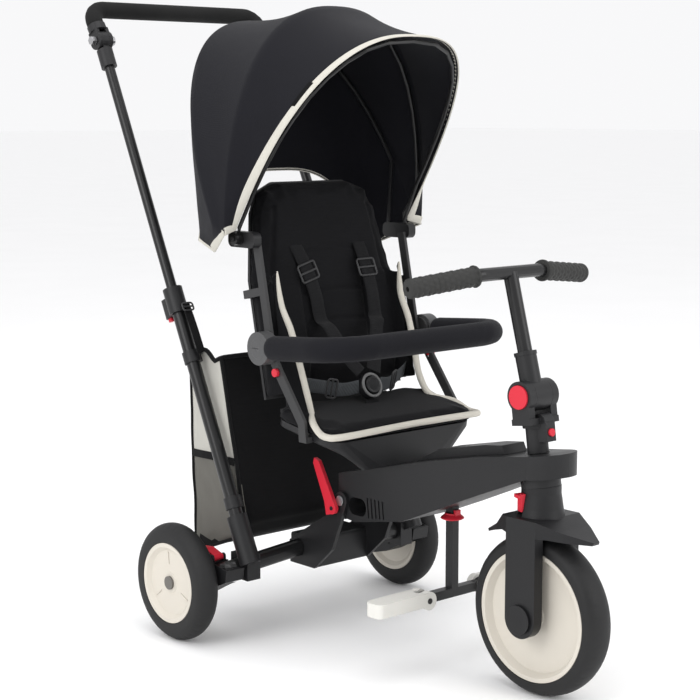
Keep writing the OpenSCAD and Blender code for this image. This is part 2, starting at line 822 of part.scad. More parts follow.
module steerer_tube() {
    foot = 12 - (head_z - crown_z);
    datum() color("#6f6f72") steering() translate([0, 0, foot]) difference() {
        cylinder(h = collar_foot - foot, d = steerer_d);
        translate([0, 0, -1]) cylinder(h = collar_foot - foot + 2, d = steerer_d - 4);
    }
}

// sleeve on the steerer with the hinge's two cheeks and pin, and the ring under the beam
module steerer_sleeve() {
    cheek_in = knuckle_w / 2 + move_gap;
    datum() color("#2b2b2d") steering() {
        difference() {
            union() {
                translate([0, 0, sleeve_foot]) cylinder(h = yoke_foot - sleeve_foot, d = lower_sleeve_d);
                translate([0, 0, collar_foot]) cylinder(h = yoke_foot - collar_foot, d = 36);
                both_sides() translate([-15, cheek_in, yoke_foot - 8])
                    cube([30, barrel_w / 2 - cheek_in, hinge_h - yoke_foot + 8]);
                both_sides() across(0, hinge_h, barrel_d, cheek_in, barrel_w / 2);
                translate([-17, -barrel_w / 2, yoke_foot - 8]) cube([34, barrel_w, 8.5]);
                translate([10, -9, collar_foot - 19]) cube([16, 18, 26]);
                across(14, collar_foot + 8, 22, -9, 9);
            }
            across(0, hinge_h, barrel_d + 1, -cheek_in, cheek_in);
            translate([0, 0, sleeve_foot - 1])
                cylinder(h = collar_foot - sleeve_foot + 1, d = steerer_d + 2 * fit_c);
            across(0, hinge_h, fold_button_d + 0.6, -barrel_w / 2 - 1, -barrel_w / 2 + 6);
            translate([20, 0, collar_foot - 7]) rotate([0, 90, 0]) cylinder(h = 20, d = 11);
        }
        across(0, hinge_h, hinge_pin_d, -barrel_w / 2 + 6, barrel_w / 2 - 2);
        difference() {
            translate([0, 0, -4]) cylinder(h = ring_h, d = neck_top_d);
            translate([0, 0, -5]) cylinder(h = ring_h + 2, d = steerer_d + 2 * fit_c);
        }
    }
}

module fold_button() {
    datum() color("#d2323c") steering()
        across(0, hinge_h, fold_button_d, -barrel_w / 2 - 2.5, -barrel_w / 2 + 2.5);
}

module sleeve_button() {
    datum() color("#d2323c") steering() translate([23, 0, collar_foot - 7])
        rotate([0, 90, 0]) cylinder(h = 6, d = 10.4);
}

// ---------- handlebar ----------

module hinge_knuckle() {
    datum() color("#2b2b2d") stem() difference() {
        union() {
            across(0, 0, barrel_d, -knuckle_w / 2, knuckle_w / 2);
            cylinder(h = 58, d = sleeve_d);
            translate([0, 0, 54]) cylinder(h = 5, d = sleeve_d + 2);
        }
        across(0, 0, hinge_pin_d + 2 * fit_c, -barrel_w, barrel_w);
        translate([0, 0, 26]) cylinder(h = 60, d = stem_d + 2 * fit_c);
    }
}

// the frame of the handlebar, at the top of the stem
module bar_place() {
    translate([hinge_x - stem_l * sin(stem_lean), 0, hinge_z + stem_l * cos(stem_lean)]) children();
}

module stem_tube() {
    datum() color("#1d1d1f") difference() {
        stem() translate([0, 0, 26.5]) cylinder(h = stem_l - 26.5, d = stem_d);
        bar_place() rod([0, -40, 0], [0, 40, 0], bar_d + 2 * fit_c);
        stem() translate([0, 0, 20]) cylinder(h = stem_l - 36, d = stem_d - 4);
    }
}

module handlebar_tube() {
    datum() color("#1d1d1f") bar_place()
        swept_tube(bent_path(across_path([bar_end, bar_bend]), bar_bend_r, 3), bar_d, bar_d - 4);
}

// ribbed rubber grips with a flange at the inner end and a small hole in the outer end
module grips() {
    tip = bar_end + 4 * grip_dir;
    foot = tip - grip_l * grip_dir;
    datum() color("#2e2e30") bar_place() both_sides() difference() {
        union() {
            rod(foot, tip, grip_d);
            rod(foot, foot + 4 * grip_dir, grip_d + 3);
        }
        rod(foot - grip_dir, bar_end, bar_d + 2 * fit_c);
        rod(bar_end - grip_dir, tip + grip_dir, 7);
    }
}

// ---------- foot bar ----------

// square post that slides in the beam, with the cross bar and its two tongues
module foot_post() {
    datum() color("#1d1d1f") difference() {
        union() {
            translate([post_x - post_t / 2, -post_t / 2, cross_bar_z])
                cube([post_t, post_t, socket_top_z - 2 - cross_bar_z]);
            translate([post_x - post_t / 2, -cross_half_l, cross_bar_z - post_t / 2])
                cube([post_t, 2 * cross_half_l, post_t]);
            both_sides() translate([post_x - tongue_w / 2, cross_half_l - 1, cross_bar_z - 7])
                cube([tongue_w, foot_hinge_y - cross_half_l + 1, 14]);
            both_sides() translate([post_x - tongue_w / 2, foot_hinge_y, cross_bar_z])
                rotate([0, 90, 0]) cylinder(h = tongue_w, d = 19);
        }
        both_sides() translate([post_x - 30, foot_hinge_y, cross_bar_z])
            rotate([0, 90, 0]) cylinder(h = 60, d = foot_pin_d + 2 * fit_c);
    }
}

// a flared collar around the post, under the beam
module post_catch() {
    datum() color("#c8303a") difference() {
        union() {
            translate([post_x, 0, catch_z]) rotate_extrude() polygon([
                [0, 0], [15, 0], [17, 1.5], [16, 3], [11, 7], [11, 9], [0, 9]
            ]);
            translate([post_x + post_t / 2 + 1, -5, catch_z + 2]) cube([4, 10, 12]);
        }
        translate([post_x - catch_window / 2, -catch_window / 2, catch_z - 1])
            cube([catch_window, catch_window, 20]);
    }
}

// an off-white block that folds up on a pin across the post's end
module foot_rest() {
    slot = tongue_w / 2 + move_gap;
    difference() {
        union() {
            translate([post_x - foot_w / 2, foot_hinge_y, cross_bar_z])
                rotate([0, 90, 0]) cylinder(h = foot_w, d = foot_knuckle_d);
            translate([0, 0, cross_bar_z - foot_t / 2 + 2]) linear_extrude(foot_t)
                round_rect(post_x - foot_w / 2, foot_hinge_y, post_x + foot_w / 2, foot_hinge_y + foot_l, 9);
        }
        translate([post_x - slot, foot_hinge_y - 20, cross_bar_z - 20]) cube([2 * slot, 34, 40]);
    }
    translate([post_x - foot_w / 2, foot_hinge_y, cross_bar_z])
        rotate([0, 90, 0]) cylinder(h = foot_w, d = foot_pin_d);
}

module foot_rest_left() {
    datum() color("#dcdcd2") foot_rest();
}

module foot_rest_right() {
    datum() color("#dcdcd2") mirror([0, 1, 0]) foot_rest();
}

// ---------- rear frame ----------

module hoop_tube() {
    datum() color("#1d1d1f") difference() {
        union() {
            swept_bar(bent_path(hoop_path, hoop_bend_r), hoop_d, 20);
            both_sides() across(
                0, rear_r, hoop_d + 4, hoop_leg_y - hub_boss_w / 2, hoop_leg_y + hub_boss_w / 2
            );
        }
        both_sides() across(
            0, rear_r, axle_d + 2 * fit_c, hoop_leg_y - hub_boss_w, hoop_leg_y + hub_boss_w
        );
    }
}

// the hoop's middle and its bends, with clearance, as cut out of the brackets
module hoop_clearance() {
    both_sides() {
        rod(hoop_path[1], hoop_path[2], hoop_d + 2 * fit_c);
        across(
            hoop_corner_x, hoop_z - 12, hoop_d + 10,
            hoop_leg_y - hoop_bend_r - 1, hoop_leg_y + hoop_d / 2
        );
    }
    rod(hoop_path[2], hoop_path[3], hoop_d + 2 * fit_c);
}

// block on the middle of the hoop with a cheek on each side of the beam, and a saddle with a
// socket for each push tube
module frame_brackets() {
    inner = beam_half + move_gap;
    datum() color("#262628") difference() {
        union() {
            side_plate(-inner - 1, inner + 1)
                round_rect(hoop_x - 24, hoop_z - 27, hoop_x + 36, hoop_z + 20, 5);
            both_sides() side_plate(inner, inner + cheek_t) {
                polygon(cheek_outline);
                translate([fold_pivot_x, fold_pivot_z]) circle(d = fold_pin_d + 2 * boss_wall);
            }
            across(lever_x, lever_z, 6, -lever_in_y - lever_t - 1, -inner);
            across(lever_x, lever_z, 11, -lever_in_y + move_gap, -inner);
            both_sides() {
                push() translate([0, 0, push_socket_foot]) cylinder(h = 74, d = push_socket_d);
                translate([hoop_x - 25, push_y - 22, hoop_z - 30])
                    cube([40, hoop_leg_y - hoop_bend_r - 1 - push_y + 22, 38]);
            }
        }
        hoop_clearance();
        across(fold_pivot_x, fold_pivot_z, fold_pin_d + 2 * fit_c, -100, 100);
        both_sides() push() cylinder(h = 60, d = lower_tube_d + 2 * fit_c);
    }
}

// red lever beside the right cheek, which frees the rear frame
module fold_lever() {
    datum() color("#c8303a") difference() {
        side_plate(-lever_in_y - lever_t, -lever_in_y) {
            translate([lever_x, lever_z]) circle(d = 18);
            polygon([
                [lever_x + 8, lever_z + 4], [lever_x - 29, lever_z + 67], [lever_x - 39, lever_z + 70],
                [lever_x - 41, lever_z + 62], [lever_x - 16, lever_z + 8], [lever_x - 12, lever_z - 12],
                [lever_x + 2, lever_z - 8]
            ]);
        }
        across(lever_x, lever_z, 6 + 2 * fit_c, -200, 0);
    }
}

// moulded cover over each end of the hoop, with ears for the brake lever
module axle_covers() {
    datum() color("#262628") both_sides() difference() {
        union() {
            side_plate(cover_in_y, cover_out_y) polygon(cover_outline);
            for (y = [cover_in_y + 4, cover_out_y - 8]) side_plate(y, y + 4) {
                translate([brake_x, brake_z]) circle(5);
                translate([brake_x - 5, rear_r + 30]) square([10, brake_z - rear_r - 30]);
            }
            across(brake_x, brake_z, 5, cover_in_y + 5, cover_out_y - 5);
        }
        rod(hoop_path[0] - 8 * way(hoop_path, 0), hoop_path[1], hoop_d + 2 * fit_c);
        push() translate([0, 0, push_socket_foot - 0.3]) cylinder(h = 80, d = push_socket_d + 0.6);
        side_plate(cover_in_y - 1, hoop_leg_y + hoop_d / 2 + 0.3) polygon([
            [34, hoop_z - 43], [hoop_corner_x + 14.5, hoop_z - 30],
            [hoop_corner_x + 14.5, hoop_z + 2], [57, hoop_z - 1], [53.9, hoop_z - 6.6], [34, hoop_z - 10]
        ]);
        across(0, rear_r, hoop_d + 4 + 2 * fit_c, cover_in_y - 1, cover_out_y + 1);
    }
}

module brake_levers() {
    y0 = cover_in_y + 8 + move_gap;
    y1 = cover_out_y - 8 - move_gap;
    datum() color("#c8303a") both_sides() difference() {
        side_plate(y0, y1) {
            translate([brake_x, brake_z]) circle(5);
            polygon([
                [brake_x, brake_z + 5], [brake_x - 20, brake_z + 11], [brake_x - 50, brake_z + 8],
                [brake_x - 56, brake_z - 2], [brake_x - 50, brake_z - 4], [brake_x - 20, brake_z - 1],
                [brake_x, brake_z - 4]
            ]);
        }
        across(brake_x, brake_z, 5 + 2 * fit_c, y0 - 1, y1 + 1);
    }
}

// ---------- push handle ----------

module push_tubes_lower() {
    datum() color("#1d1d1f") both_sides() push() difference() {
        cylinder(h = lower_tube_l, d = lower_tube_d);
        translate([0, 0, 12]) cylinder(h = lower_tube_l, d = upper_tube_d + 2 * fit_c);
    }
}

// clamp collar at the top of each lower tube, with a lobe at the rear for its catch
module push_collars() {
    foot = lower_tube_l - 22;
    datum() color("#262628") both_sides() push() difference() {
        union() {
            translate([0, 0, foot]) cylinder(h = collar_l, d = collar_d);
            translate([-collar_d / 2 - 9, -7, foot]) cube([20, 14, 30]);
            translate([-collar_d / 2 - 9, 0, foot]) cylinder(h = 30, r = 7);
        }
        translate([0, 0, foot - 1]) cylinder(h = 23, d = lower_tube_d + 2 * fit_c);
        translate([0, 0, foot - 1]) cylinder(h = collar_l + 2, d = upper_tube_d + 2 * fit_c);
        translate([-collar_d / 2 - 9, 0, foot - 1]) cylinder(h = 18, d = 9);
    }
}

module collar_catches() {
    foot = lower_tube_l - 22;
    datum() color("#c8303a") both_sides() push()
        translate([-collar_d / 2 - 9, 0, foot - 5]) cylinder(h = 18, d = 8.4);
}

module push_tubes_upper() {
    datum() color("#202022") both_sides() push() translate([0, 0, lower_tube_l - 72]) difference() {
        cylinder(h = push_l - 18 - lower_tube_l + 72, d = upper_tube_d);
        translate([0, 0, -1]) cylinder(h = push_l - 18 - lower_tube_l + 70, d = upper_tube_d - 3);
    }
}

// lower elbow half: a socket on the upper tube and a tongue for the pivot bolt
module elbows_lower() {
    datum() color("#262628") both_sides() difference() {
        union() {
            push() translate([0, 0, push_l - 46]) cylinder(h = 30, d = upper_tube_d + 9);
            push() translate([-8, -elbow_t / 2, push_l - 30]) cube([16, elbow_t, 30]);
            across(elbow_x, elbow_z, 29, push_y - elbow_t / 2, push_y + elbow_t / 2);
        }
        push() translate([0, 0, push_l - 60]) cylinder(h = 42.3, d = upper_tube_d + 2 * fit_c);
        across(elbow_x, elbow_z, 8 + 2 * fit_c, push_y - 40, push_y + 40);
    }
}

// pivot bolt of each elbow, with a nut outside and a knob inside
module elbow_bolts() {
    out = elbow_t / 2 + elbow_cheek_t + 1;
    datum() color("#8f8f8f") both_sides() translate([elbow_x, push_y, elbow_z]) {
        across(0, 0, 8, -out - 6, out + 6);
        across(0, 0, 15, -out - 8, -out - move_gap);
        rotate([-90, 0, 0]) translate([0, 0, out + move_gap]) cylinder(h = 8, d = 14, $fn = 6);
    }
}

// upper elbow half: two cheeks around the tongue and a socket for the handle tube
module elbows_upper() {
    gap = elbow_t / 2 + move_gap;
    datum() color("#262628") both_sides() translate([elbow_x, push_y, elbow_z])
        rotate([0, -handle_lean, 0]) difference() {
            union() {
                for (y = [-gap - elbow_cheek_t, gap]) side_plate(y, y + elbow_cheek_t) {
                    circle(d = 29);
                    translate([-11, 0]) square([22, 19]);
                }
                translate([0, 0, 16]) cylinder(h = 12, d = foam_d + 2);
            }
            across(0, 0, 8 + 2 * fit_c, -40, 40);
            translate([0, 0, 15]) cylinder(h = 24, d = handle_tube_d + 2 * fit_c);
        }
}

// a point on the handle's left end, at distance l from the elbow's pivot
function handle_at(l) = [elbow_x - l * sin(handle_lean), push_y, elbow_z + l * cos(handle_lean)];

module handle_tube() {
    datum() color("#1d1d1f") swept_tube(
        bent_path(across_path([handle_at(16.5), handle_corner]), handle_bend_r),
        handle_tube_d, handle_tube_d - 4
    );
}

module handle_foam() {
    datum() color("#1a1a1b") swept_tube(
        bent_path(across_path([handle_at(28), handle_corner]), handle_bend_r),
        foam_d, handle_tube_d + 2 * fit_c
    );
}

// ---------- bag ----------

// storage bag, open at the top
module bag() {
    datum() color("#202022") difference() {
        side_plate(-bag_w / 2, bag_w / 2) polygon(bag_side);
        side_plate(-bag_w / 2 + bag_wall, bag_w / 2 - bag_wall) polygon(bag_inside);
    }
}

// clips that hang the bag from the push tubes
module bag_straps() {
    datum() color("#303032") both_sides() difference() {
        for (z = clip_places) push() translate([0, 0, (z - push_foot_z) / cos(push_lean)]) {
            cylinder(h = 18, d = lower_tube_d + 5);
            translate([-5, bag_w / 2 + 0.3 - push_y, 0]) cube([10, push_y - bag_w / 2, 18]);
        }
        push() cylinder(h = lower_tube_l, d = lower_tube_d + 2 * fit_c);
    }
}

// ---------- seat ----------

// tray under the cushion, narrowing down to the beam, with two ears for the recline pin
module seat_pan() {
    pan_half = seat_w / 2 - 6;
    ear_y = 96;
    datum() color("#37373a") difference() {
        union() {
            difference() {
                hull() {
                    seat() translate([0, 0, -seat_t - pan_t]) linear_extrude(pan_t, $fn = 32)
                        round_rect(-seat_l + 2, -pan_half, -4, pan_half, 24);
                    translate([beam_rear_x + 12, -beam_half + 4, beam_top_z - 4]) cube([86, beam_w - 8, 24]);
                }
                hull() {
                    seat() translate([0, 0, -seat_t - pan_t - 3]) linear_extrude(pan_t - 1, $fn = 32)
                        round_rect(
                            -seat_l + 2 + pan_wall, -pan_half + pan_wall,
                            -4 - pan_wall, pan_half - pan_wall, 22
                        );
                    translate([beam_rear_x + 18, -beam_half + 10, beam_top_z - 60])
                        cube([74, beam_w - 20, 60]);
                }
            }
            both_sides() side_plate(ear_y, ear_y + 12) polygon([
                [recline_x + 4, recline_z - 9], [recline_x + 44, recline_z - 26],
                [recline_x + 44, recline_z - 14], [recline_x + 4, recline_z + 8]
            ]);
            both_sides() across(recline_x, recline_z, recline_pin_d + 10, ear_y, ear_y + 12);
        }
        translate([beam_rear_x, -far / 2, beam_top_z]) rotate([0, -beam_top_slope, 0])
            translate([-far / 2, 0, -far / 2]) cube([far, far, far / 2]);
        across(recline_x, recline_z, recline_pin_d + 2 * fit_c, -seat_w, seat_w);
        seat() translate([-far / 2, -far / 2, -seat_t]) cube([far, far, far / 2]);
    }
}

module seat_cushion() {
    datum() color("#1b1b1e") seat() translate([0, 0, -seat_t + 0.3]) linear_extrude(seat_t - 0.3)
        round_rect(-seat_l, -seat_w / 2, 0, seat_w / 2, 26);
}

// flat bars down each side of the seat, with the bumper bar's pivot discs and pins
module seat_rails() {
    y0 = lower_rail_y;
    datum() color("#4a4a4c") both_sides() {
        side_plate(y0, y0 + rail_t) difference() {
            union() {
                translate([bumper_x, bumper_z]) circle(20);
                translate([bumper_x, bumper_z]) polygon([
                    [-4, -8], [9, -2], [28, -30], [rail_reach + 12, 30 - rail_drop],
                    [rail_reach + 16, -rail_drop], [rail_reach, -rail_drop],
                    [rail_reach - 2, 24 - rail_drop], [16, -39]
                ]);
            }
            translate([button_x, button_z]) circle(d = 7 + 2 * move_gap);
            translate([button_x, button_z - button_travel]) circle(d = 7 + 2 * move_gap);
        }
        translate([bumper_x + rail_reach, seat_w / 2 - 5.7, bumper_z - rail_drop])
            cube([16, y0 - seat_w / 2 + 6, 8]);
        across(bumper_x, bumper_z, bumper_pin_d, y0 + 1, bumper_out_y - 4);
    }
}

// ---------- harness ----------

// a webbing strap from p to q, lying across the given box of width and thickness
module strap(p, q, box) {
    hull() for (e = [p, q]) translate(e) cube(box, center = true);
}

// two lap straps, two shoulder straps' lower ends and the crotch strap
module lap_straps() {
    r = buckle_d / 2 + 0.8;
    seat_top = seat_front_z + (seat_front_x - buckle_x) * tan(seat_tilt);
    datum() color("#55555a") {
        both_sides() {
            strap([buckle_x - 4, r, buckle_z], [buckle_x - 30, 92, buckle_z + 6], [2, 1, 20]);
            strap([buckle_x - 6, 10.5, buckle_z + r - 0.4], [buckle_x - 40, 46, buckle_z + 88], [2, 20, 1]);
        }
        translate([buckle_x - 1, -13, seat_top + 0.3]) cube([2.5, 26, buckle_z - seat_top - r - 1.1]);
    }
}

module buckle_frame() {
    translate([buckle_x, 0, buckle_z]) rotate([0, 68, 0]) children();
}

module buckle() {
    datum() color("#2a2a2c") buckle_frame() difference() {
        translate([0, 0, -7]) cylinder(h = 14, d = buckle_d);
        translate([0, 0, 1]) cylinder(h = 10, d = buckle_d - 13);
    }
}

module buckle_button() {
    datum() color("#6a6a6e") buckle_frame() translate([0, 0, 4]) cylinder(h = 5, d = buckle_d - 14);
}

// shoulder straps down the front of the back, each with its slider
module shoulder_straps() {
    x = back_x0 + back_t + 0.3;
    datum() color("#26262a") back() both_sides() {
        strap([x + 1, 62, 238], [x + 1, 44, 118], [2, strap_w, 1]);
        translate([x + 2, 53 - 16, 168]) cube([5, 32, 24]);
    }
}

// ---------- back ----------

// the back's outline stands in the plane of the back, from local x0 to x1
module back_slab(x0, x1, s = 1) {
    translate([x0, 0, back_foot]) rotate([90, 0, 90]) linear_extrude(x1 - x0)
        polygon([for (p = back_outline) [p[0] * s, p[1]]]);
}

module back_cushion() {
    front = back_x0 + back_t;
    datum() color("#1b1b1e") back() {
        back_slab(back_x0, front);
        both_sides() translate([front - 1, back_w / 2 - 24, back_foot]) rotate([90, 0, 90]) linear_extrude(23)
            polygon([[0, 0], [24, 0], [24, back_l * 0.5], [8, back_l * 0.55], [0, back_l * 0.4]]);
    }
}

module back_panel() {
    rear = back_x0 - 0.3 - back_panel_t;
    datum() color("#303032") back() difference() {
        union() {
            back_slab(rear, back_x0 - 0.3, back_edge);
            both_sides() translate([rear, 70, 0]) cube([back_panel_t, 25, 30]);
            both_sides() across(0, 0, recline_pin_d + 9, 70, 95);
            across(0, 0, recline_pin_d, -112, 112);
        }
        for (y = [-62, 62]) translate([rear - 1, y - 16, 236]) cube([back_panel_t + 2, 32, 5]);
    }
}

// flat bars beside the back, which carry the canopy pods
module back_rails() {
    y0 = upper_rail_y;
    edge = back_edge * back_w / 2;
    rear = back_x0 - 0.3 - back_panel_t;
    datum() color("#4a4a4c") back() both_sides() {
        side_plate(y0, y0 + rail_t) {
            translate([28, 96]) square([rail_w, canopy_up - 96 - 8]);
            for (z = lug_places) translate([rear, z]) square([rail_w + 28 - rear, 12]);
        }
        for (z = lug_places) translate([rear, edge, z]) cube([back_panel_t, y0 - edge + 0.5, 12]);
    }
}

// ---------- canopy ----------

// a point on an arch at angle a, from 0 at the left foot to 180 at the right foot
function arch_point(s, a) =
    let (
        h = s[3] * pow(sin(a), 2 / s[5]),
        bow = s[6] * sin(a) * sin(a)
    ) [
        s[0] + h * cos(s[4]) + bow * sin(s[4]),
        s[2] * sign(cos(a)) * pow(abs(cos(a)), 2 / s[5]),
        s[1] + h * sin(s[4]) - bow * cos(s[4])
    ];
function drawn_to(p, c, d) = p + d * (c - p) / norm(c - p);
function drawn_in(p, d) = drawn_to(p, canopy_c, d);
function arch_angle(i) = 180 * (0.5 - 0.5 * cos(180 * i / arch_steps)) * 0.4 + 0.6 * 180 * i / arch_steps;

// the ribs run inside the fabric, from an eye on each pod
function rib_path(s, eye_y, knee) = concat(
    [[canopy_x, eye_y, canopy_z], [canopy_x + knee[0], eye_y, canopy_z + knee[1]]],
    [for (i = [1 : arch_steps - 1]) drawn_in(arch_point(s, arch_angle(i)), rib_inset)],
    [[canopy_x + knee[0], -eye_y, canopy_z + knee[1]], [canopy_x, -eye_y, canopy_z]]
);

module rib_eyes(y0) {
    both_sides() difference() {
        across(canopy_x, canopy_z, 18, y0, y0 + eye_t);
        across(canopy_x, canopy_z, 7 + 2 * fit_c, y0 - 10, y0 + 10);
    }
}

module rib_body(s, y0, knee) {
    difference() {
        swept_bar(rib_path(s, y0 + eye_t / 2, knee), rib_tube_d);
        both_sides() across(canopy_x, canopy_z, 17, y0 - 4, y0 + eye_t + 4);
    }
    rib_eyes(y0);
}

module canopy_rim() {
    datum() color("#1f1f22") rib_body(rim_arch, rim_eye_y, rim_knee);
}

module canopy_rib() {
    datum() color("#1f1f22") rib_body(rib_arch, rib_eye_y, rib_knee);
}

// the pods carry the pivot pins, and the fixed rear rib runs between them
module canopy_pods() {
    foot = [canopy_x - 24, pod_out_y - 4, canopy_z];
    datum() color("#2a2a2c") {
        both_sides() {
            side_plate(pod_in_y, pod_out_y) {
                round_rect(canopy_x - 28, canopy_z - 13, canopy_x + 32, canopy_z + 10, 9);
            }
            across(canopy_x, canopy_z, 7, pod_out_y - 2, rib_eye_y + eye_t + 2);
        }
        swept_bar(concat(
            [foot, foot + [0, -1, 14]],
            [for (i = [2 : arch_steps - 2])
                drawn_to(arch_point(rear_arch, arch_angle(i)), rear_rib_c, rib_inset + 2)],
            [[foot[0], 1 - foot[1], foot[2] + 14], [foot[0], -foot[1], foot[2]]]
        ), rib_tube_d);
    }
}

// lower hem of the canopy behind the back
function hem_point(a) = let (c = abs(cos(a))) [
    canopy_x - 105 + 13 * pow(c, 4), (pod_out_y + 5) * sign(cos(a)) * pow(c, 0.8),
    canopy_z + 92 - 99 * pow(c, 4)
];

// one row of the fabric, from the front rim (u = 0) over the ribs (1, 2) to the hem (3)
function fabric_point(u, a) =
    let (
        k = min(floor(u), 2),
        f = u - k,
        arches = [rim_arch, rib_arch, rear_arch],
        p = arch_point(arches[k], a),
        q = k < 2 ? arch_point(arches[k + 1], a) : hem_point(a),
        dip = 4 * f * (1 - f) * (k < 2 ? 7 : -10) * sin(a)
    ) drawn_in((1 - f) * p + f * q, dip);
// the lower edge of the fabric, along the flap
function low_point(u) =
    u <= 1 ? fabric_point(u, 0) - [1, 0, 5]
    : u <= 2 ? (2 - u) * flap_start + (u - 1) * flap_tip
    : (3 - u) * flap_tip + (u - 2) * flap_rear;
function fabric_row(u) = concat(
    [low_point(u)],
    [for (i = [0 : arch_steps]) fabric_point(u, arch_angle(i))],
    [[low_point(u)[0], -low_point(u)[1], low_point(u)[2]]]
);

function quad(a, b, c, d) = [[a, b, c], [a, c, d]];

module canopy_fabric() {
    m = fabric_cols;
    quads = concat(
        [for (r = [0 : fabric_rows - 2], c = [0 : m - 2])
            quad(r * m + c, r * m + c + 1, (r + 1) * m + c + 1, (r + 1) * m + c)],
        [for (r = [0 : fabric_rows - 2], c = [0 : m - 2]) let (n = fabric_n)
            quad(n + r * m + c, n + (r + 1) * m + c, n + (r + 1) * m + c + 1, n + r * m + c + 1)],
        [for (c = [0 : m - 2]) quad(c, fabric_n + c, fabric_n + c + 1, c + 1)],
        [for (c = [0 : m - 2]) let (e = (fabric_rows - 1) * m)
            quad(e + c, e + c + 1, fabric_n + e + c + 1, fabric_n + e + c)],
        [for (r = [0 : fabric_rows - 2])
            quad(r * m, (r + 1) * m, fabric_n + (r + 1) * m, fabric_n + r * m)],
        [for (r = [0 : fabric_rows - 2]) let (e = m - 1)
            quad(r * m + e, fabric_n + r * m + e, fabric_n + (r + 1) * m + e, (r + 1) * m + e)]
    );
    datum() color("#1c1c21") polyhedron(
        points = concat(fabric_outer, fabric_inner),
        faces = [for (q = quads) for (t = q) t]
    );
}

// ---------- bumper bar ----------

// steel bar with a moulded disc on each end, which turns on the rail's pin
module bumper_bar() {
    datum() color("#58585c") {
        both_sides() difference() {
            across(bumper_x, bumper_z, bumper_disc_d, bumper_in_y, bumper_out_y);
            across(bumper_x, bumper_z, bumper_pin_d + 2 * fit_c, bumper_in_y - 1, bumper_out_y - 3);
        }
        swept_bar(
            bent_path(across_path([bumper_bar_start, bumper_corner]), bumper_bend_r),
            bumper_tube_d, 20
        );
    }
}

module bumper_foam() {
    datum() color("#202024") swept_tube(
        bent_path(across_path([bumper_foam_start, bumper_corner]), bumper_bend_r),
        bumper_foam_d, bumper_tube_d + 2 * fit_c, 20
    );
}

// round buttons that free the bumper bar, in the rails below its pivots
module bumper_buttons() {
    datum() color("#c8303a") both_sides() {
        across(button_x, button_z, 12, button_in_y, button_out_y);
        across(button_x, button_z, 7, lower_rail_y + 0.8, button_out_y - 1);
    }
}

beam_shell_right();
beam_shell_left();
spine_cover();
body_fasteners();
head_bushes();
seat_pan();
seat_cushion();
seat_rails();
lap_straps();
buckle();
buckle_button();
fork();
front_axle();
steerer_tube();
steerer_sleeve();
fork_lock_tab();
fold_button();
sleeve_button();
front_tyre();
front_disc();
hinge_knuckle();
stem_tube();
handlebar_tube();
grips();
foot_post();
post_catch();
foot_rest_right();
foot_rest_left();
hoop_tube();
frame_brackets();
rear_axles();
axle_covers();
brake_levers();
fold_lever();
rear_tyre_right();
rear_disc_right();
rear_tyre_left();
rear_disc_left();
push_tubes_lower();
push_collars();
collar_catches();
push_tubes_upper();
elbows_lower();
elbow_bolts();
elbows_upper();
handle_tube();
handle_foam();
bag();
bag_straps();
back_panel();
back_cushion();
back_rails();
shoulder_straps();
canopy_pods();
canopy_rim();
canopy_rib();
canopy_fabric();
bumper_bar();
bumper_foam();
bumper_buttons();
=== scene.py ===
import math
import bmesh
import bpy
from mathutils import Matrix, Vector


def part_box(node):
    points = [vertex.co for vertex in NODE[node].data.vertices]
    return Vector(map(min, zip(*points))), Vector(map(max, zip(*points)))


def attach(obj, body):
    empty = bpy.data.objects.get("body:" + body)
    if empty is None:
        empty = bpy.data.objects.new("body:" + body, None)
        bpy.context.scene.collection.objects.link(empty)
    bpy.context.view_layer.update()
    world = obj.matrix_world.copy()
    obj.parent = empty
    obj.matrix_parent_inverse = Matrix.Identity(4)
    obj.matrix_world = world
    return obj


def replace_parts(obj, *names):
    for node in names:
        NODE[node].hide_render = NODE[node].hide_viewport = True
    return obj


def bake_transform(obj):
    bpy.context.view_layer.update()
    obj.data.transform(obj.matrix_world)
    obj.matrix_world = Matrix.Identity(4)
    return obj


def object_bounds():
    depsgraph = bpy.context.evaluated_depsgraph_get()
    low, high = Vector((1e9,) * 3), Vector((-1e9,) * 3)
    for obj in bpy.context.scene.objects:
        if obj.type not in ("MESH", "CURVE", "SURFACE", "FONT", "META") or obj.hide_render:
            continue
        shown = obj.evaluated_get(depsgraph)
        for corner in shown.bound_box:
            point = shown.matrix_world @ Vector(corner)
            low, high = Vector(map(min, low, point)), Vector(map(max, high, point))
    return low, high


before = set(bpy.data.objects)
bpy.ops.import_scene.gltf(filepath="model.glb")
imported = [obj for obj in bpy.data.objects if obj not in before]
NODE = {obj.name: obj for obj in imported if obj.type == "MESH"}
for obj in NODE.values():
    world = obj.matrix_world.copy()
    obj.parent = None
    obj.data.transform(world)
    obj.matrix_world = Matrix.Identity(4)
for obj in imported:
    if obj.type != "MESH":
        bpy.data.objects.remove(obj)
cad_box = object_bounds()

# The floor is a plain pale sheet that the tricycle stands on. Two large soft lamps light it from
# the left and right, a third from above, and a pale surrounding fills the shadows.
scene = bpy.context.scene
low, high = (Vector(p) for p in cad_box)
mid = (low + high) / 2


def link(obj):
    """Puts a new object in the scene."""
    scene.collection.objects.link(obj)
    return obj


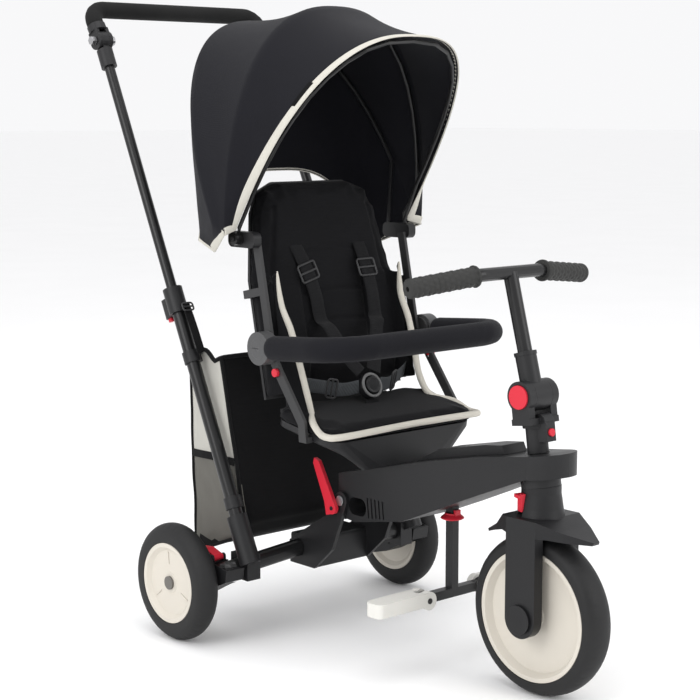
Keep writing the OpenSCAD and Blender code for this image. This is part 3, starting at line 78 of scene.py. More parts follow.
def plain_finish(name, colour, rough):
    """A finish with a node tree, its colour drifting slightly over the surface."""
    mat = bpy.data.materials.new(name)
    mat.use_nodes = True
    nodes, links = mat.node_tree.nodes, mat.node_tree.links
    shader = nodes["Principled BSDF"]
    shader.inputs["Roughness"].default_value = rough
    place = nodes.new("ShaderNodeTexCoord")
    drift = nodes.new("ShaderNodeTexNoise")
    drift.inputs["Scale"].default_value = 2.5
    ramp = nodes.new("ShaderNodeValToRGB")
    ramp.color_ramp.elements[0].color = (*(c * 0.98 for c in colour), 1)
    ramp.color_ramp.elements[1].color = (*(min(c * 1.02, 1) for c in colour), 1)
    links.new(place.outputs["Object"], drift.inputs["Vector"])
    links.new(drift.outputs["Fac"], ramp.inputs["Fac"])
    links.new(ramp.outputs["Color"], shader.inputs["Base Color"])
    return mat


floor_mesh = bpy.data.meshes.new("floor")
floor_mesh.from_pydata([(-60, -60, 0), (60, -60, 0), (60, 60, 0), (-60, 60, 0)], [], [(0, 1, 2, 3)])
floor = link(bpy.data.objects.new("floor", floor_mesh))
floor_mesh.materials.append(plain_finish("floor_paper", (0.97, 0.97, 0.97), 0.95))


def softbox(name, place, size, watts):
    """A square lamp that faces the middle of the tricycle."""
    lamp = bpy.data.lights.new(name, "AREA")
    lamp.shape = "SQUARE"
    lamp.size = size
    lamp.energy = watts
    obj = link(bpy.data.objects.new(name, lamp))
    obj.location = place
    obj.rotation_euler = (mid - Vector(place)).to_track_quat("-Z", "Y").to_euler()


softbox("lamp_left", (0.2, -3.2, 2.0), 2.0, 42)
softbox("lamp_right", (3.2, 1.2, 1.8), 2.0, 30)
softbox("lamp_top", (0.4, -0.3, 3.4), 2.4, 34)
world = bpy.data.worlds.new("surrounding")
scene.world = world
world.use_nodes = True
world.node_tree.nodes["Background"].inputs["Color"].default_value = (0.99, 0.99, 1.0, 1)
world.node_tree.nodes["Background"].inputs["Strength"].default_value = 0.95
scene.view_settings.view_transform = "Standard"

camera_data = bpy.data.cameras.new("camera")
camera_data.lens = 86.6
camera = link(bpy.data.objects.new("camera", camera_data))
camera.location = (1.8344, -1.6539, 0.7800)
look = Vector((-0.02647, 0, 0.4289)) - camera.location
camera.rotation_euler = look.to_track_quat("-Z", "Y").to_euler()
scene.camera = camera


def centre_of(node):
    """The middle of a CAD node's box."""
    a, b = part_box(node)
    return (Vector(a) + Vector(b)) / 2


def grown(name, colour, rough, grain=1500.0, depth=0.12, spread=0.1, metal=0.0, coat=0.0):
    """A moulded or painted finish: fine grain in the bump, slow drift in colour and gloss."""
    mat = bpy.data.materials.new(name)
    mat.use_nodes = True
    nodes, links = mat.node_tree.nodes, mat.node_tree.links
    shader = nodes["Principled BSDF"]
    shader.inputs["Metallic"].default_value = metal
    shader.inputs["Coat Weight"].default_value = coat
    shader.inputs["Specular IOR Level"].default_value = 0.3
    place = nodes.new("ShaderNodeTexCoord")
    drift = nodes.new("ShaderNodeTexNoise")
    drift.inputs["Scale"].default_value = 14
    drift.inputs["Detail"].default_value = 5
    ramp = nodes.new("ShaderNodeValToRGB")
    ramp.color_ramp.elements[0].position = 0.3
    ramp.color_ramp.elements[0].color = (*(c * (1 - spread) for c in colour), 1)
    ramp.color_ramp.elements[1].position = 0.7
    ramp.color_ramp.elements[1].color = (*(min(c * (1 + spread), 1) for c in colour), 1)
    gloss = nodes.new("ShaderNodeMapRange")
    gloss.inputs["From Min"].default_value = 0.3
    gloss.inputs["From Max"].default_value = 0.7
    gloss.inputs["To Min"].default_value = rough * 0.88
    gloss.inputs["To Max"].default_value = min(rough * 1.12, 1)
    fine = nodes.new("ShaderNodeTexNoise")
    fine.inputs["Scale"].default_value = grain
    fine.inputs["Detail"].default_value = 2
    bump = nodes.new("ShaderNodeBump")
    bump.inputs["Strength"].default_value = depth
    bump.inputs["Distance"].default_value = 0.0006
    links.new(place.outputs["Object"], drift.inputs["Vector"])
    links.new(place.outputs["Object"], fine.inputs["Vector"])
    links.new(drift.outputs["Fac"], ramp.inputs["Fac"])
    links.new(drift.outputs["Fac"], gloss.inputs["Value"])
    links.new(ramp.outputs["Color"], shader.inputs["Base Color"])
    links.new(gloss.outputs["Result"], shader.inputs["Roughness"])
    links.new(fine.outputs["Fac"], bump.inputs["Height"])
    links.new(bump.outputs["Normal"], shader.inputs["Normal"])
    return mat


def piece(name, verts, faces, mat, body, crease=35):
    """A new mesh piece, its sharp edges kept, riding on a body."""
    mesh = bpy.data.meshes.new(name)
    mesh.from_pydata([tuple(v) for v in verts], [], faces)
    mesh.validate()
    bm = bmesh.new()
    bm.from_mesh(mesh)
    bmesh.ops.recalc_face_normals(bm, faces=bm.faces)
    bm.to_mesh(mesh)
    bm.free()
    mesh.shade_smooth()
    mesh.set_sharp_from_angle(angle=math.radians(crease))
    obj = link(bpy.data.objects.new(name, mesh))
    mesh.materials.append(mat)
    if body:
        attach(obj, body)
    return obj


def turned(name, centre, section, mat, body, steps=96, cut=None):
    """A closed section of (radius, y) points turned about an axle that runs across the tricycle."""
    verts = []
    for i in range(steps):
        a = 2 * math.pi * i / steps
        for j, (r, y) in enumerate(section):
            r = r - (cut(i, j) if cut else 0)
            verts.append(centre + Vector((r * math.cos(a), y, r * math.sin(a))))
    n = len(section)
    faces = [
        (i * n + j, i * n + (j + 1) % n, (i + 1) % steps * n + (j + 1) % n, (i + 1) % steps * n + j)
        for i in range(steps)
        for j in range(n)
    ]
    return piece(name, verts, faces, mat, body, crease=30)


rubber = grown("tyre_rubber", (0.014, 0.014, 0.0145), 0.6, grain=700, depth=0.25, spread=0.2)


def tyre(node, disc, body):
    """One tyre, standing for its CAD node and filling the same box."""
    a, b = (Vector(p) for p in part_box(node))
    outer, half = (b.z - a.z) / 2, (b.y - a.y) / 2
    bead = (Vector(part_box(disc)[1]).z - Vector(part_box(disc)[0]).z) / 2 + 0.0001
    deep = outer - bead
    section = [(bead, -half * 0.9), (bead + deep * 0.05, -half * 0.98)]
    for deg in range(14, 167, 8):
        t = math.radians(deg)
        section.append((bead + deep * math.sin(t) ** 0.62, -half * math.cos(t)))
    section += [(bead + deep * 0.05, half * 0.98), (bead, half * 0.9)]
    last = len(section) - 1

    def sipe(i, j):
        shoulder = 6 <= min(j, last - j) <= 8
        return 0.0007 if shoulder and i % 6 == 0 else 0

    obj = turned(node + "_rubber", (a + b) / 2, section, rubber, body, steps=240, cut=sipe)
    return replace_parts(obj, node)


tyre("front_tyre", "front_disc", "front_wheel")
tyre("rear_tyre_right", "rear_disc_right", "rear_wheel_right")
tyre("rear_tyre_left", "rear_disc_left", "rear_wheel_left")

# The wheel discs are cream plastic, moulded with a raised rim and hub. Dark caps hide the ends of
# the axles, snapped on the rear wheels and pressed against the fork's legs in front.
axle = centre_of("rear_disc_right")


def at(x, y, z):
    """A point in mm forward of the rear axle, to the left and up from the floor."""
    return Vector((axle.x + x / 1000, y / 1000, z / 1000))


def worn(name, colour, rough, grain=1500.0, depth=0.12, spread=0.1, edge=1.6, metal=0.0, coat=0.0):
    """The same finish with rounded edges, which are rubbed a little lighter than the faces."""
    mat = grown(name, colour, rough, grain, depth, spread, metal, coat)
    nodes, links = mat.node_tree.nodes, mat.node_tree.links
    shader = nodes["Principled BSDF"]
    round_off = nodes.new("ShaderNodeBevel")
    round_off.samples = 4
    round_off.inputs["Radius"].default_value = 0.0011
    flat = nodes.new("ShaderNodeNewGeometry")
    turn = nodes.new("ShaderNodeVectorMath")
    turn.operation = "DOT_PRODUCT"
    rub = nodes.new("ShaderNodeMapRange")
    rub.inputs["From Min"].default_value = 0.995
    rub.inputs["From Max"].default_value = 0.85
    tint = nodes.new("ShaderNodeMix")
    tint.data_type = "RGBA"
    tint.inputs[7].default_value = (*(min(c * edge + 0.004, 1) for c in colour), 1)
    bump = next(n for n in nodes if n.bl_idname == "ShaderNodeBump")
    ramp = next(n for n in nodes if n.bl_idname == "ShaderNodeValToRGB")
    links.new(round_off.outputs["Normal"], bump.inputs["Normal"])
    links.new(round_off.outputs["Normal"], turn.inputs[0])
    links.new(flat.outputs["Normal"], turn.inputs[1])
    links.new(turn.outputs["Value"], rub.inputs["Value"])
    links.new(rub.outputs["Result"], tint.inputs[0])
    links.new(ramp.outputs["Color"], tint.inputs[6])
    links.new(tint.outputs[2], shader.inputs["Base Color"])
    return mat


def dress(mat, *names):
    """Gives CAD nodes their finish."""
    for name in names:
        for place in NODE[name].material_slots:
            place.material = mat


cream = worn("disc_plastic", (0.62, 0.58, 0.51), 0.42, grain=900, depth=0.08, spread=0.03, edge=1.1)
cap_grey = worn("cap_plastic", (0.14, 0.132, 0.12), 0.5, grain=900, depth=0.2, edge=1.4)
dress(cream, "front_disc", "rear_disc_right", "rear_disc_left")
dress(cap_grey, "rear_axles")


def slab(name, foot, along, across, rise, mat, body):
    """A low raised bar, drawn in a little towards its top. The three vectors are its half length,
    its half width and its height."""
    side_draft, end_draft = 0.25, 0.07
    corners = []
    for w, v, u in ((0, -1, -1), (0, -1, 1), (0, 1, 1), (0, 1, -1), (1, -1, -1), (1, -1, 1),
                    (1, 1, 1), (1, 1, -1)):
        corners.append(foot + across * u * (1 - side_draft * w) + along * v * (1 - end_draft * w)
                       + rise * w)
    sides = [(0, 1, 2, 3), (4, 5, 6, 7), (0, 1, 5, 4), (1, 2, 6, 5), (2, 3, 7, 6), (3, 0, 4, 7)]
    return piece(name, corners, sides, mat, body)


rib_at, rib_half, rib_thin, rib_high = 0.037, 0.009, 0.0011, 0.0009
disc_half = 0.0122
for side, body in ((-1, "rear_wheel_right"), (1, "rear_wheel_left")):
    hub = centre_of("rear_disc_right" if side < 0 else "rear_disc_left")
    face = hub.y + side * disc_half
    for k, deg in enumerate((96, 216, 336)):
        a = math.radians(deg)
        out, over = Vector((math.cos(a), 0, math.sin(a))), Vector((-math.sin(a), 0, math.cos(a)))
        rib = slab(f"disc_rib_{body}_{k}", Vector((hub.x, face, hub.z)) + out * rib_at,
                   out * rib_half, over * rib_thin, Vector((0, side * rib_high, 0)), cream, body)

# The body is a beam of two charcoal shells screwed together, with a cover along its top. It and
# the fork are moulded with a fine spark-eroded texture that keeps their gloss low.
charcoal = worn("body_plastic", (0.0115, 0.0115, 0.0125), 0.42, grain=1300, depth=0.22, spread=0.1)
fork_dark = worn("fork_plastic", (0.009, 0.009, 0.01), 0.42, grain=1300, depth=0.2, spread=0.1)
inner_dark = grown("bush_plastic", (0.03, 0.03, 0.031), 0.6, grain=900, depth=0.2)
zinc = worn("steel", (0.42, 0.42, 0.43), 0.34, grain=1800, depth=0.06, metal=1.0, edge=1.15)
dress(charcoal, "beam_shell_right", "beam_shell_left", "spine_cover", "seat_pan", "frame_brackets",
      "axle_covers")
dress(fork_dark, "fork", "front_axle")
dress(inner_dark, "head_bushes")
dress(zinc, "body_fasteners", "elbow_bolts")

# Everything that a parent presses, pulls or slides is moulded in red plastic, with a smooth face
# where the thumb goes.
red = worn("red_plastic", (0.62, 0.022, 0.042), 0.36, grain=1100, depth=0.08, spread=0.05, edge=1.25)
dress(red, "fold_button", "sleeve_button", "fork_lock_tab", "post_catch", "fold_lever",
      "brake_levers", "collar_catches", "bumper_buttons")

# The steering column, handlebar, frame hoop and push tubes are steel tube in satin black powder
# coat. Collars, elbows and the hinge of the handlebar are moulded in dark plastic.
coated = grown("tube_paint", (0.008, 0.008, 0.0085), 0.33, grain=2200, depth=0.08, spread=0.12, coat=0.15)
socket = worn("grey_plastic", (0.015, 0.015, 0.016), 0.42, grain=1300, depth=0.16)
rail_grey = worn("rail_plastic", (0.035, 0.035, 0.036), 0.45, grain=1300, depth=0.16, edge=1.3)
dress(coated, "steerer_tube", "stem_tube", "handlebar_tube", "hoop_tube", "push_tubes_lower",
      "push_tubes_upper", "handle_tube", "canopy_rim", "canopy_rib", "bumper_bar")
dress(socket, "steerer_sleeve", "hinge_knuckle", "push_collars", "elbows_lower", "elbows_upper",
      "foot_post", "canopy_pods", "bag_straps", "back_panel")
dress(rail_grey, "seat_rails", "back_rails")

# The foot rests are off-white plastic blocks, open in plan, that fold up beside the post. Each
# turns on a dark steel bolt through its knuckle.
foot_white = worn("foot_plastic", (0.7, 0.69, 0.65), 0.5, grain=700, depth=0.2, spread=0.04, edge=1.05)
dress(foot_white, "foot_rest_right", "foot_rest_left")


def frame_along(direction):
    """Two directions square to the given one."""
    d = direction.normalized()
    side = d.cross(Vector((0.31, 0.17, 1))).normalized()
    return side, d.cross(side)


def spun(name, centre, direction, section, mat, body, steps=72):
    """A closed section of (radius, height) points turned about any axis."""
    side, up = frame_along(direction)
    d = direction.normalized()
    verts = []
    for i in range(steps):
        a = 2 * math.pi * i / steps
        spoke = side * math.cos(a) + up * math.sin(a)
        verts += [centre + spoke * r + d * h for r, h in section]
    n = len(section)
    faces = [
        (i * n + j, i * n + (j + 1) % n, (i + 1) % steps * n + (j + 1) % n, (i + 1) % steps * n + j)
        for i in range(steps)
        for j in range(n)
    ]
    return piece(name, verts, faces, mat, body, crease=30)


bolt_steel = worn("bolt_steel", (0.03, 0.03, 0.03), 0.35, grain=1800, depth=0.06, edge=1.6)
bolt = [(0.0005, -0.0002), (0.0042, -0.0002), (0.0042, 0.0009), (0.0036, 0.0014), (0.0019, 0.0014),
        (0.0017, 0.0004), (0.0005, 0.0004)]
for side, label in ((-1, "right"), (1, "left")):
    block_low, block_high = (Vector(p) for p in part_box(f"foot_rest_{label}"))
    knuckle_r = (block_high.z - block_low.z) / 2
    inner_y = block_high.y - knuckle_r if side < 0 else block_low.y + knuckle_r
    knuckle = Vector((block_high.x, inner_y, block_low.z + knuckle_r))
    bolt_head = spun(f"foot_bolt_{label}", knuckle, Vector((1, 0, 0)), bolt, bolt_steel,
                     f"foot_rest_{label}", steps=36)

# The grips are soft black rubber pushed onto the bar, with rows of staggered bumps, a flange at
# the inner end and a small vent in the outer end.
grip_rubber = grown("grip_rubber", (0.026, 0.026, 0.025), 0.6, grain=1200, depth=0.25, spread=0.15)


def skin(name, rings, mat, body, ends=True, crease=35):
    """A surface through rings of points, closed round each ring and capped at its ends."""
    verts = [p for ring in rings for p in ring]
    n = len(rings[0])
    faces = [
        (i * n + j, i * n + (j + 1) % n, (i + 1) * n + (j + 1) % n, (i + 1) * n + j)
        for i in range(len(rings) - 1)
        for j in range(n)
    ]
    if ends:
        faces += [tuple(range(n)), tuple(range(len(verts) - n, len(verts)))]
    return piece(name, verts, faces, mat, body, crease)


def ends_of(node, side):
    """The end points of a straight node on one side of the tricycle, the inner one first."""
    points = [v.co for v in NODE[node].data.vertices if v.co.y * side > 0]
    reach = sorted(abs(p.y) for p in points)
    inner = [p for p in points if abs(p.y) < reach[0] + 0.006]
    outer = [p for p in points if abs(p.y) > reach[-1] - 0.006]
    middle = [(Vector([min(p[i] for p in g) for i in range(3)])
               + Vector([max(p[i] for p in g) for i in range(3)])) / 2 for g in (inner, outer)]
    return middle


grip_r, grip_rows, grip_sides = 0.0137, 104, 72
bump_high, bump_pitch, bumps_round = 0.0017, 0.0082, 9
plain_inner, flange_wide, flange_edge = 0.008, 0.004, 0.0012
plain_outer, end_round, end_deep = 0.007, 0.0035, 0.0026
for side, label in ((-1, "right"), (1, "left")):
    foot, tip = ends_of("grips", side)
    along = (tip - foot).normalized()
    across, up = frame_along(along)
    length = (tip - foot).length + 0.002
    foot = foot - along * 0.001
    rings = []
    for i in range(grip_rows + 1):
        s = length * i / grip_rows
        ring = []
        for j in range(grip_sides):
            a = 2 * math.pi * j / grip_sides
            band = (s - plain_inner) / bump_pitch
            wave = math.sin(math.pi * (band % 1)) ** 0.5
            lobe = 0.5 + 0.5 * math.cos(bumps_round * a + (math.pi if int(band) % 2 else 0))
            r = grip_r - bump_high * (1 - wave * (0.35 + 0.65 * lobe ** 0.7))
            if s < flange_wide:
                r = grip_r + 0.0013
            if s < flange_edge:
                r = grip_r + 0.0006
            if s > length - plain_outer:
                r = grip_r - 0.0002
            if s > length - end_round:
                bite = (s - length + end_round) / end_round
                r = grip_r - 0.0002 - end_deep * bite * bite
            ring.append(foot + along * s + (across * math.cos(a) + up * math.sin(a)) * r)
        rings.append(ring)
    end = foot + along * length
    spokes = [2 * math.pi * j / grip_sides for j in range(grip_sides)]
    for r, deep in ((0.0036, 0), (0.0034, 0.005), (0.0006, 0.005)):
        rings.append([end - along * deep + (across * math.cos(a) + up * math.sin(a)) * r
                      for a in spokes])
    grip = skin(f"grip_{label}", rings, grip_rubber, "handlebar", crease=50)
    if side < 0:
        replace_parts(grip, "grips")

# The bumper bar is a foam tube in dark stretch fabric, sewn into a sleeve with one seam along its
# underside and pulled over a bent steel bar. A grey moulded disc closes each end.
def woven(name, colour, thread=0.0011, depth=0.35, spread=0.18, sheen=0.05, rough=0.85):
    """Woven cloth: threads in three directions, so that two show on any face, and slow fading."""
    mat = bpy.data.materials.new(name)
    mat.use_nodes = True
    nodes, links = mat.node_tree.nodes, mat.node_tree.links
    shader = nodes["Principled BSDF"]
    shader.inputs["Roughness"].default_value = rough
    shader.inputs["Sheen Weight"].default_value = sheen
    shader.inputs["Sheen Roughness"].default_value = 0.45
    shader.inputs["Specular IOR Level"].default_value = 0.12
    place = nodes.new("ShaderNodeTexCoord")
    total = None
    for axis in "XYZ":
        wave = nodes.new("ShaderNodeTexWave")
        wave.bands_direction = axis
        wave.inputs["Scale"].default_value = 2 * math.pi / (20 * thread)
        wave.inputs["Distortion"].default_value = 0.6
        wave.inputs["Detail"].default_value = 1
        links.new(place.outputs["Object"], wave.inputs["Vector"])
        if total is None:
            total = wave.outputs["Fac"]
        else:
            add = nodes.new("ShaderNodeMath")
            add.operation = "ADD"
            links.new(total, add.inputs[0])
            links.new(wave.outputs["Fac"], add.inputs[1])
            total = add.outputs[0]
    slow = nodes.new("ShaderNodeTexNoise")
    slow.inputs["Scale"].default_value = 11
    slow.inputs["Detail"].default_value = 6
    blend = nodes.new("ShaderNodeMath")
    blend.operation = "MULTIPLY_ADD"
    blend.inputs[1].default_value = 0.14
    ramp = nodes.new("ShaderNodeValToRGB")
    ramp.color_ramp.elements[0].position = 0.3
    ramp.color_ramp.elements[0].color = (*(c * (1 - spread) for c in colour), 1)
    ramp.color_ramp.elements[1].position = 1.0
    ramp.color_ramp.elements[1].color = (*(min(c * (1 + spread), 1) for c in colour), 1)
    bump = nodes.new("ShaderNodeBump")
    bump.inputs["Strength"].default_value = depth
    bump.inputs["Distance"].default_value = 0.0005
    links.new(place.outputs["Object"], slow.inputs["Vector"])
    links.new(total, blend.inputs[0])
    links.new(slow.outputs["Fac"], blend.inputs[2])
    links.new(blend.outputs[0], ramp.inputs["Fac"])
    links.new(ramp.outputs["Color"], shader.inputs["Base Color"])
    links.new(total, bump.inputs["Height"])
    links.new(bump.outputs["Normal"], shader.inputs["Normal"])
    return mat


def rounded(points, radius, steps=10):
    """The points of a path with its corners rounded."""
    path = [points[0]]
    for before, here, after in zip(points, points[1:], points[2:]):
        a, b = (before - here).normalized(), (after - here).normalized()
        back = radius / math.tan(a.angle(b) / 2)
        p, q = here + a * back, here + b * back
        hub = here + (a + b).normalized() * (radius / math.sin(a.angle(b) / 2))
        for i in range(steps + 1):
            t = (p - hub).normalized().slerp((q - hub).normalized(), i / steps) if i else (p - hub)
            path.append(hub + t.normalized() * radius)
    return path + [points[-1]]


def even(path, gap):
    """The same path with its points a near-equal gap apart."""
    out = [path[0]]
    for a, b in zip(path, path[1:]):
        n = max(1, round((b - a).length / gap))
        out += [a.lerp(b, (i + 1) / n) for i in range(n)]
    return out


def rings_along(path, radius, sides=32):
    """Rings round a path, turned as little as possible from one to the next. The radius may be a
    function of the place along it and of the angle."""
    rings, side = [], None
    for i, p in enumerate(path):
        d = (path[min(i + 1, len(path) - 1)] - path[max(i - 1, 0)]).normalized()
        side = frame_along(d)[0] if side is None else (side - d * side.dot(d)).normalized()
        up = d.cross(side)
        ring = []
        for j in range(sides):
            a = 2 * math.pi * j / sides
            r = radius(i, a) if callable(radius) else radius
            ring.append(p + side * math.cos(a) * r + up * math.sin(a) * r)
        rings.append(ring)
    return rings


def capped(rings):
    """The rings with their ends drawn in to a soft edge."""
    def drawn(ring, amount):
        middle = sum(ring, Vector()) / len(ring)
        return [middle + (p - middle) * amount for p in ring]
    first = [drawn(rings[0], amount) for amount in (0.7, 0.93)]
    last = [drawn(rings[-1], amount) for amount in (0.93, 0.7)]
    return first + rings[1:-1] + last


stretch = woven("foam_cover", (0.009, 0.009, 0.0115), thread=0.0009, depth=0.25, sheen=0.06)
foam_high = Vector(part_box("bumper_foam")[1])
disc_high = Vector(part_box("bumper_bar")[1])
foam_r = 0.018
start = at(153, 164, 448.6)
corner = Vector((foam_high.x - foam_r, foam_high.y - foam_r, foam_high.z - foam_r))
bumper_points = [Vector((start.x, -corner.y, start.z)), Vector((corner.x, -corner.y, corner.z)),
                 corner, Vector((start.x, corner.y, start.z))]
bumper_path = even(rounded(bumper_points, 0.058, 14), 0.005)


def puckered(i, a):
    """A little fuller in the middle of each straight, with slight puckers round the bends."""
    n = len(bumper_path)
    bend = sum(math.exp(-((i - n * t) / 9) ** 2) for t in (0.27, 0.73))
    return foam_r - 0.0003 - 0.00045 * bend * (0.5 + 0.5 * math.sin(i * 1.9 + 2 * a))


foam = skin("bumper_sleeve", capped(rings_along(bumper_path, puckered, 40)), stretch, "bumper",
            crease=60)
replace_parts(foam, "bumper_foam")
seam_path = [p - Vector((0, 0, foam_r - 0.0006)) for p in bumper_path[3:-3]]
skin("bumper_seam", rings_along(seam_path, 0.0009, 8), stretch, "bumper")

disc_grey = worn("disc_grey", (0.075, 0.075, 0.077), 0.42, grain=1000, depth=0.15, edge=1.5)
dress(disc_grey, "bumper_bar")
for side, label in ((-1, "right"), (1, "left")):
    hub = at(128, 0, 446)
    hub.y = side * (disc_high.y - 0.0003)
    face = [(0.0, 0.0009), (0.0148, 0.0007), (0.0158, 0.0), (0.0158, -0.0006)]
    section = [(r, side * y) for r, y in face]
    cover = turned(f"bumper_cap_{label}", hub, section, disc_grey, "bumper", steps=64)
    # The slot in each cap is a thin raised charcoal strip: painted shade standing in for the recess.
    cap_slot_painted_shade = slab(f"bumper_cap_slot_painted_shade_{label}", hub + Vector((-0.005, side * 0.0008, 0)),
                     Vector((0.0078, 0, 0)), Vector((0, 0, 0.0004)), Vector((0, side * 0.0003, 0)),
                     charcoal, "bumper")

# The push handle's grip is a black foam tube, slid on before the tube was bent. It creases a
# little on the inside of the two corners.
handle_low, handle_high = (Vector(p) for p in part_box("handle_foam"))
pad_r = 0.0135
foam_black = grown("grip_foam", (0.007, 0.007, 0.007), 0.85, grain=600, depth=0.5, spread=0.15)
pad_top = Vector((handle_low.x + pad_r, handle_high.y - pad_r, handle_high.z - pad_r))
elbow = at(-265.3, 0, 891.155)
elbow.y = pad_top.y
pad_foot = elbow + (pad_top - elbow).normalized() * 0.0285
grip_points = [Vector((pad_foot.x, -pad_foot.y, pad_foot.z)),
               Vector((pad_top.x, -pad_top.y, pad_top.z)), pad_top, pad_foot]
grip_path = even(rounded(grip_points, 0.024, 12), 0.004)


def creased(i, a):
    """Drawn in by slight creases at the two bends."""
    n = len(grip_path)
    bend = sum(math.exp(-((i - n * t) / 6) ** 2) for t in (0.1, 0.9))
    return pad_r - 0.0002 - 0.0005 * bend * (0.5 + 0.5 * math.sin(i * 2.1))


pad = skin("handle_grip", capped(rings_along(grip_path, creased, 36)), foam_black, "handle",
           crease=60)
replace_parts(pad, "handle_foam")

# The storage bag hangs between the push tubes. Its front and back are black cloth, its sides a
# light mesh with a black band across it, the mesh below the band painted darker as shade, and
# black binding is sewn round every edge. It bulges where it is soft. A short strap with a plastic
# ring ties each corner to its tube.
bag_cloth = woven("bag_cloth", (0.0055, 0.0055, 0.006), thread=0.0013, depth=0.3)
bag_mesh = woven("bag_mesh", (0.5, 0.49, 0.45), thread=0.0016, depth=0.5, spread=0.08)
# The net below the band is the same light mesh, painted darker as the shade on the lower side.
bag_mesh_painted_shade = woven("bag_mesh_painted_shade", (0.15, 0.145, 0.13), thread=0.0016, depth=0.6, spread=0.12)
binding = woven("binding_black", (0.007, 0.007, 0.0075), thread=0.0008, depth=0.4)
bag_half = Vector(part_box("bag")[1]).y - 0.001
bag_rear = [(-63, 118), (-65, 170), (-69, 270), (-73, 378)]
bag_front = [(-38, 118), (40, 146), (47, 158), (65, 178), (36, 298), (7, 418)]


def on_line(points, t):
    """A place along a line of (x, z) points, by length."""
    spans = [math.dist(a, b) for a, b in zip(points, points[1:])]
    left = t * sum(spans)
    for a, b, s in zip(points, points[1:], spans):
        if left <= s:
            return (a[0] + (b[0] - a[0]) * left / s, a[1] + (b[1] - a[1]) * left / s)
        left -= s
    return points[-1]


def bag_point(t, across, fore, inside=0.0):
    """A point of the bag's wall at height t, from -1 to 1 across and from 0 to 1 fore and aft."""
    rx, rz = on_line(bag_rear, t)
    fx, fz = on_line(bag_front, min(t * 1.02, 1))
    x = rx + (fx - rx) * fore
    z = rz + (fz - rz) * fore + 30 * t ** 6 * math.sin(math.pi * min(fore * 1.25, 1))
    soft = math.sin(math.pi * min(t * 1.1, 1))
    slack = soft * (1 - across ** 4)
    x -= (1 - fore) ** 6 * slack * 5 + fore ** 6 * slack * 2.5
    fold = math.sin(17 * t + 4 * fore) * math.sin(9 * fore + 5 * t)
    y = across * (bag_half * 1000 - 2.2 - 1.6 * (1 - soft) + 1.2 * fold * soft * abs(across) ** 8)
    return at(x, y * (1 - inside), z)


def bag_ring(t, n=28, m=14):
    """One ring round the bag with its corners rounded."""
    ring = []
    r = 0.07
    ring += [(-1 + 2 * (k + 0.5) / n, 1) for k in range(n)]
    ring += [(1, 1 - (k + 0.5) / m) for k in range(m)]
    ring += [(1 - 2 * (k + 0.5) / n, 0) for k in range(n)]
    ring += [(-1, (k + 0.5) / m) for k in range(m)]
    out = []
    for across, fore in ring:
        f = (fore - 0.5) * 2
        a = across
        if abs(a) > 1 - r and abs(f) > 1 - 3 * r:
            u, v = (abs(a) - 1 + r) / r, (abs(f) - 1 + 3 * r) / (3 * r)
            s = max(u, v) / max(math.hypot(u, v), 1e-6)
            a = math.copysign(1 - r + r * u * s, a)
            f = math.copysign(1 - 3 * r + 3 * r * v * s, f)
        out.append(bag_point(t, a, f / 2 + 0.5))
    return out


BAG_STEPS = 34
bag_rows = [bag_ring(i / BAG_STEPS) for i in range(BAG_STEPS + 1)]
bag = skin("bag_shell", bag_rows, bag_cloth, "rear_frame", ends=False, crease=50)
foot_ring = len(bag_rows[0])
bm = bmesh.new()
bm.from_mesh(bag.data)
bm.verts.ensure_lookup_table()
bm.faces.new([bm.verts[i] for i in range(foot_ring)])
bmesh.ops.recalc_face_normals(bm, faces=bm.faces)
bm.to_mesh(bag.data)
bm.free()
bag.data.materials.append(bag_mesh)
bag.data.materials.append(bag_mesh_painted_shade)
band_t = 0.56
# Side faces above the band take the light mesh; those below it take the darker copy, which is painted
# shade.
for face in bag.data.polygons:
    c = face.center
    side = abs(c.y) > bag_half - 0.0055 and len(face.vertices) == 4
    panel = 1 if c.z > bag_point(band_t, 1, 0.5).z else 2
    face.material_index = panel if side and c.z > 0.135 else 0
thick = bag.modifiers.new("cloth", "SOLIDIFY")
thick.thickness = 0.0016
thick.offset = -1
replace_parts(bag, "bag")

rim_path = even(bag_rows[-1] + [bag_rows[-1][0]], 0.012)
skin("bag_rim_binding", rings_along(rim_path, 0.0034, 12), binding, "rear_frame")
for side, label in ((-1, "right"), (1, "left")):
    for k, fore in enumerate((0.03, 0.97)):
        edge = [bag_point(i / 30, side * 0.985, fore) for i in range(31)]
        bound = rings_along(edge, 0.003, 10)
        skin(f"bag_edge_{label}_{k}", bound, binding, "rear_frame")
    band = []
    for fore in [0.05 + 0.9 * i / 20 for i in range(21)]:
        p = bag_point(band_t, side, fore)
        band.append([p + Vector((0, side * w, z)) for w, z in
                     ((0.0003, -0.006), (0.0015, -0.0055), (0.0015, 0.0055), (0.0003, 0.006))])
    skin(f"bag_band_{label}", band, binding, "rear_frame")


def smooth_path(points, n):
    """A smooth curve through points, as n + 1 points."""
    out = []
    pts = [points[0]] + list(points) + [points[-1]]
    spans = len(points) - 1
    for i in range(n + 1):
        s = min(i / n * spans, spans - 1e-9)
        k, t = int(s), s - int(s)
        a, b, c, d = pts[k:k + 4]
        out.append(0.5 * ((2 * b) + (c - a) * t + (2 * a - 5 * b + 4 * c - d) * t * t
                          + (3 * b - a - 3 * c + d) * t ** 3))
    return out


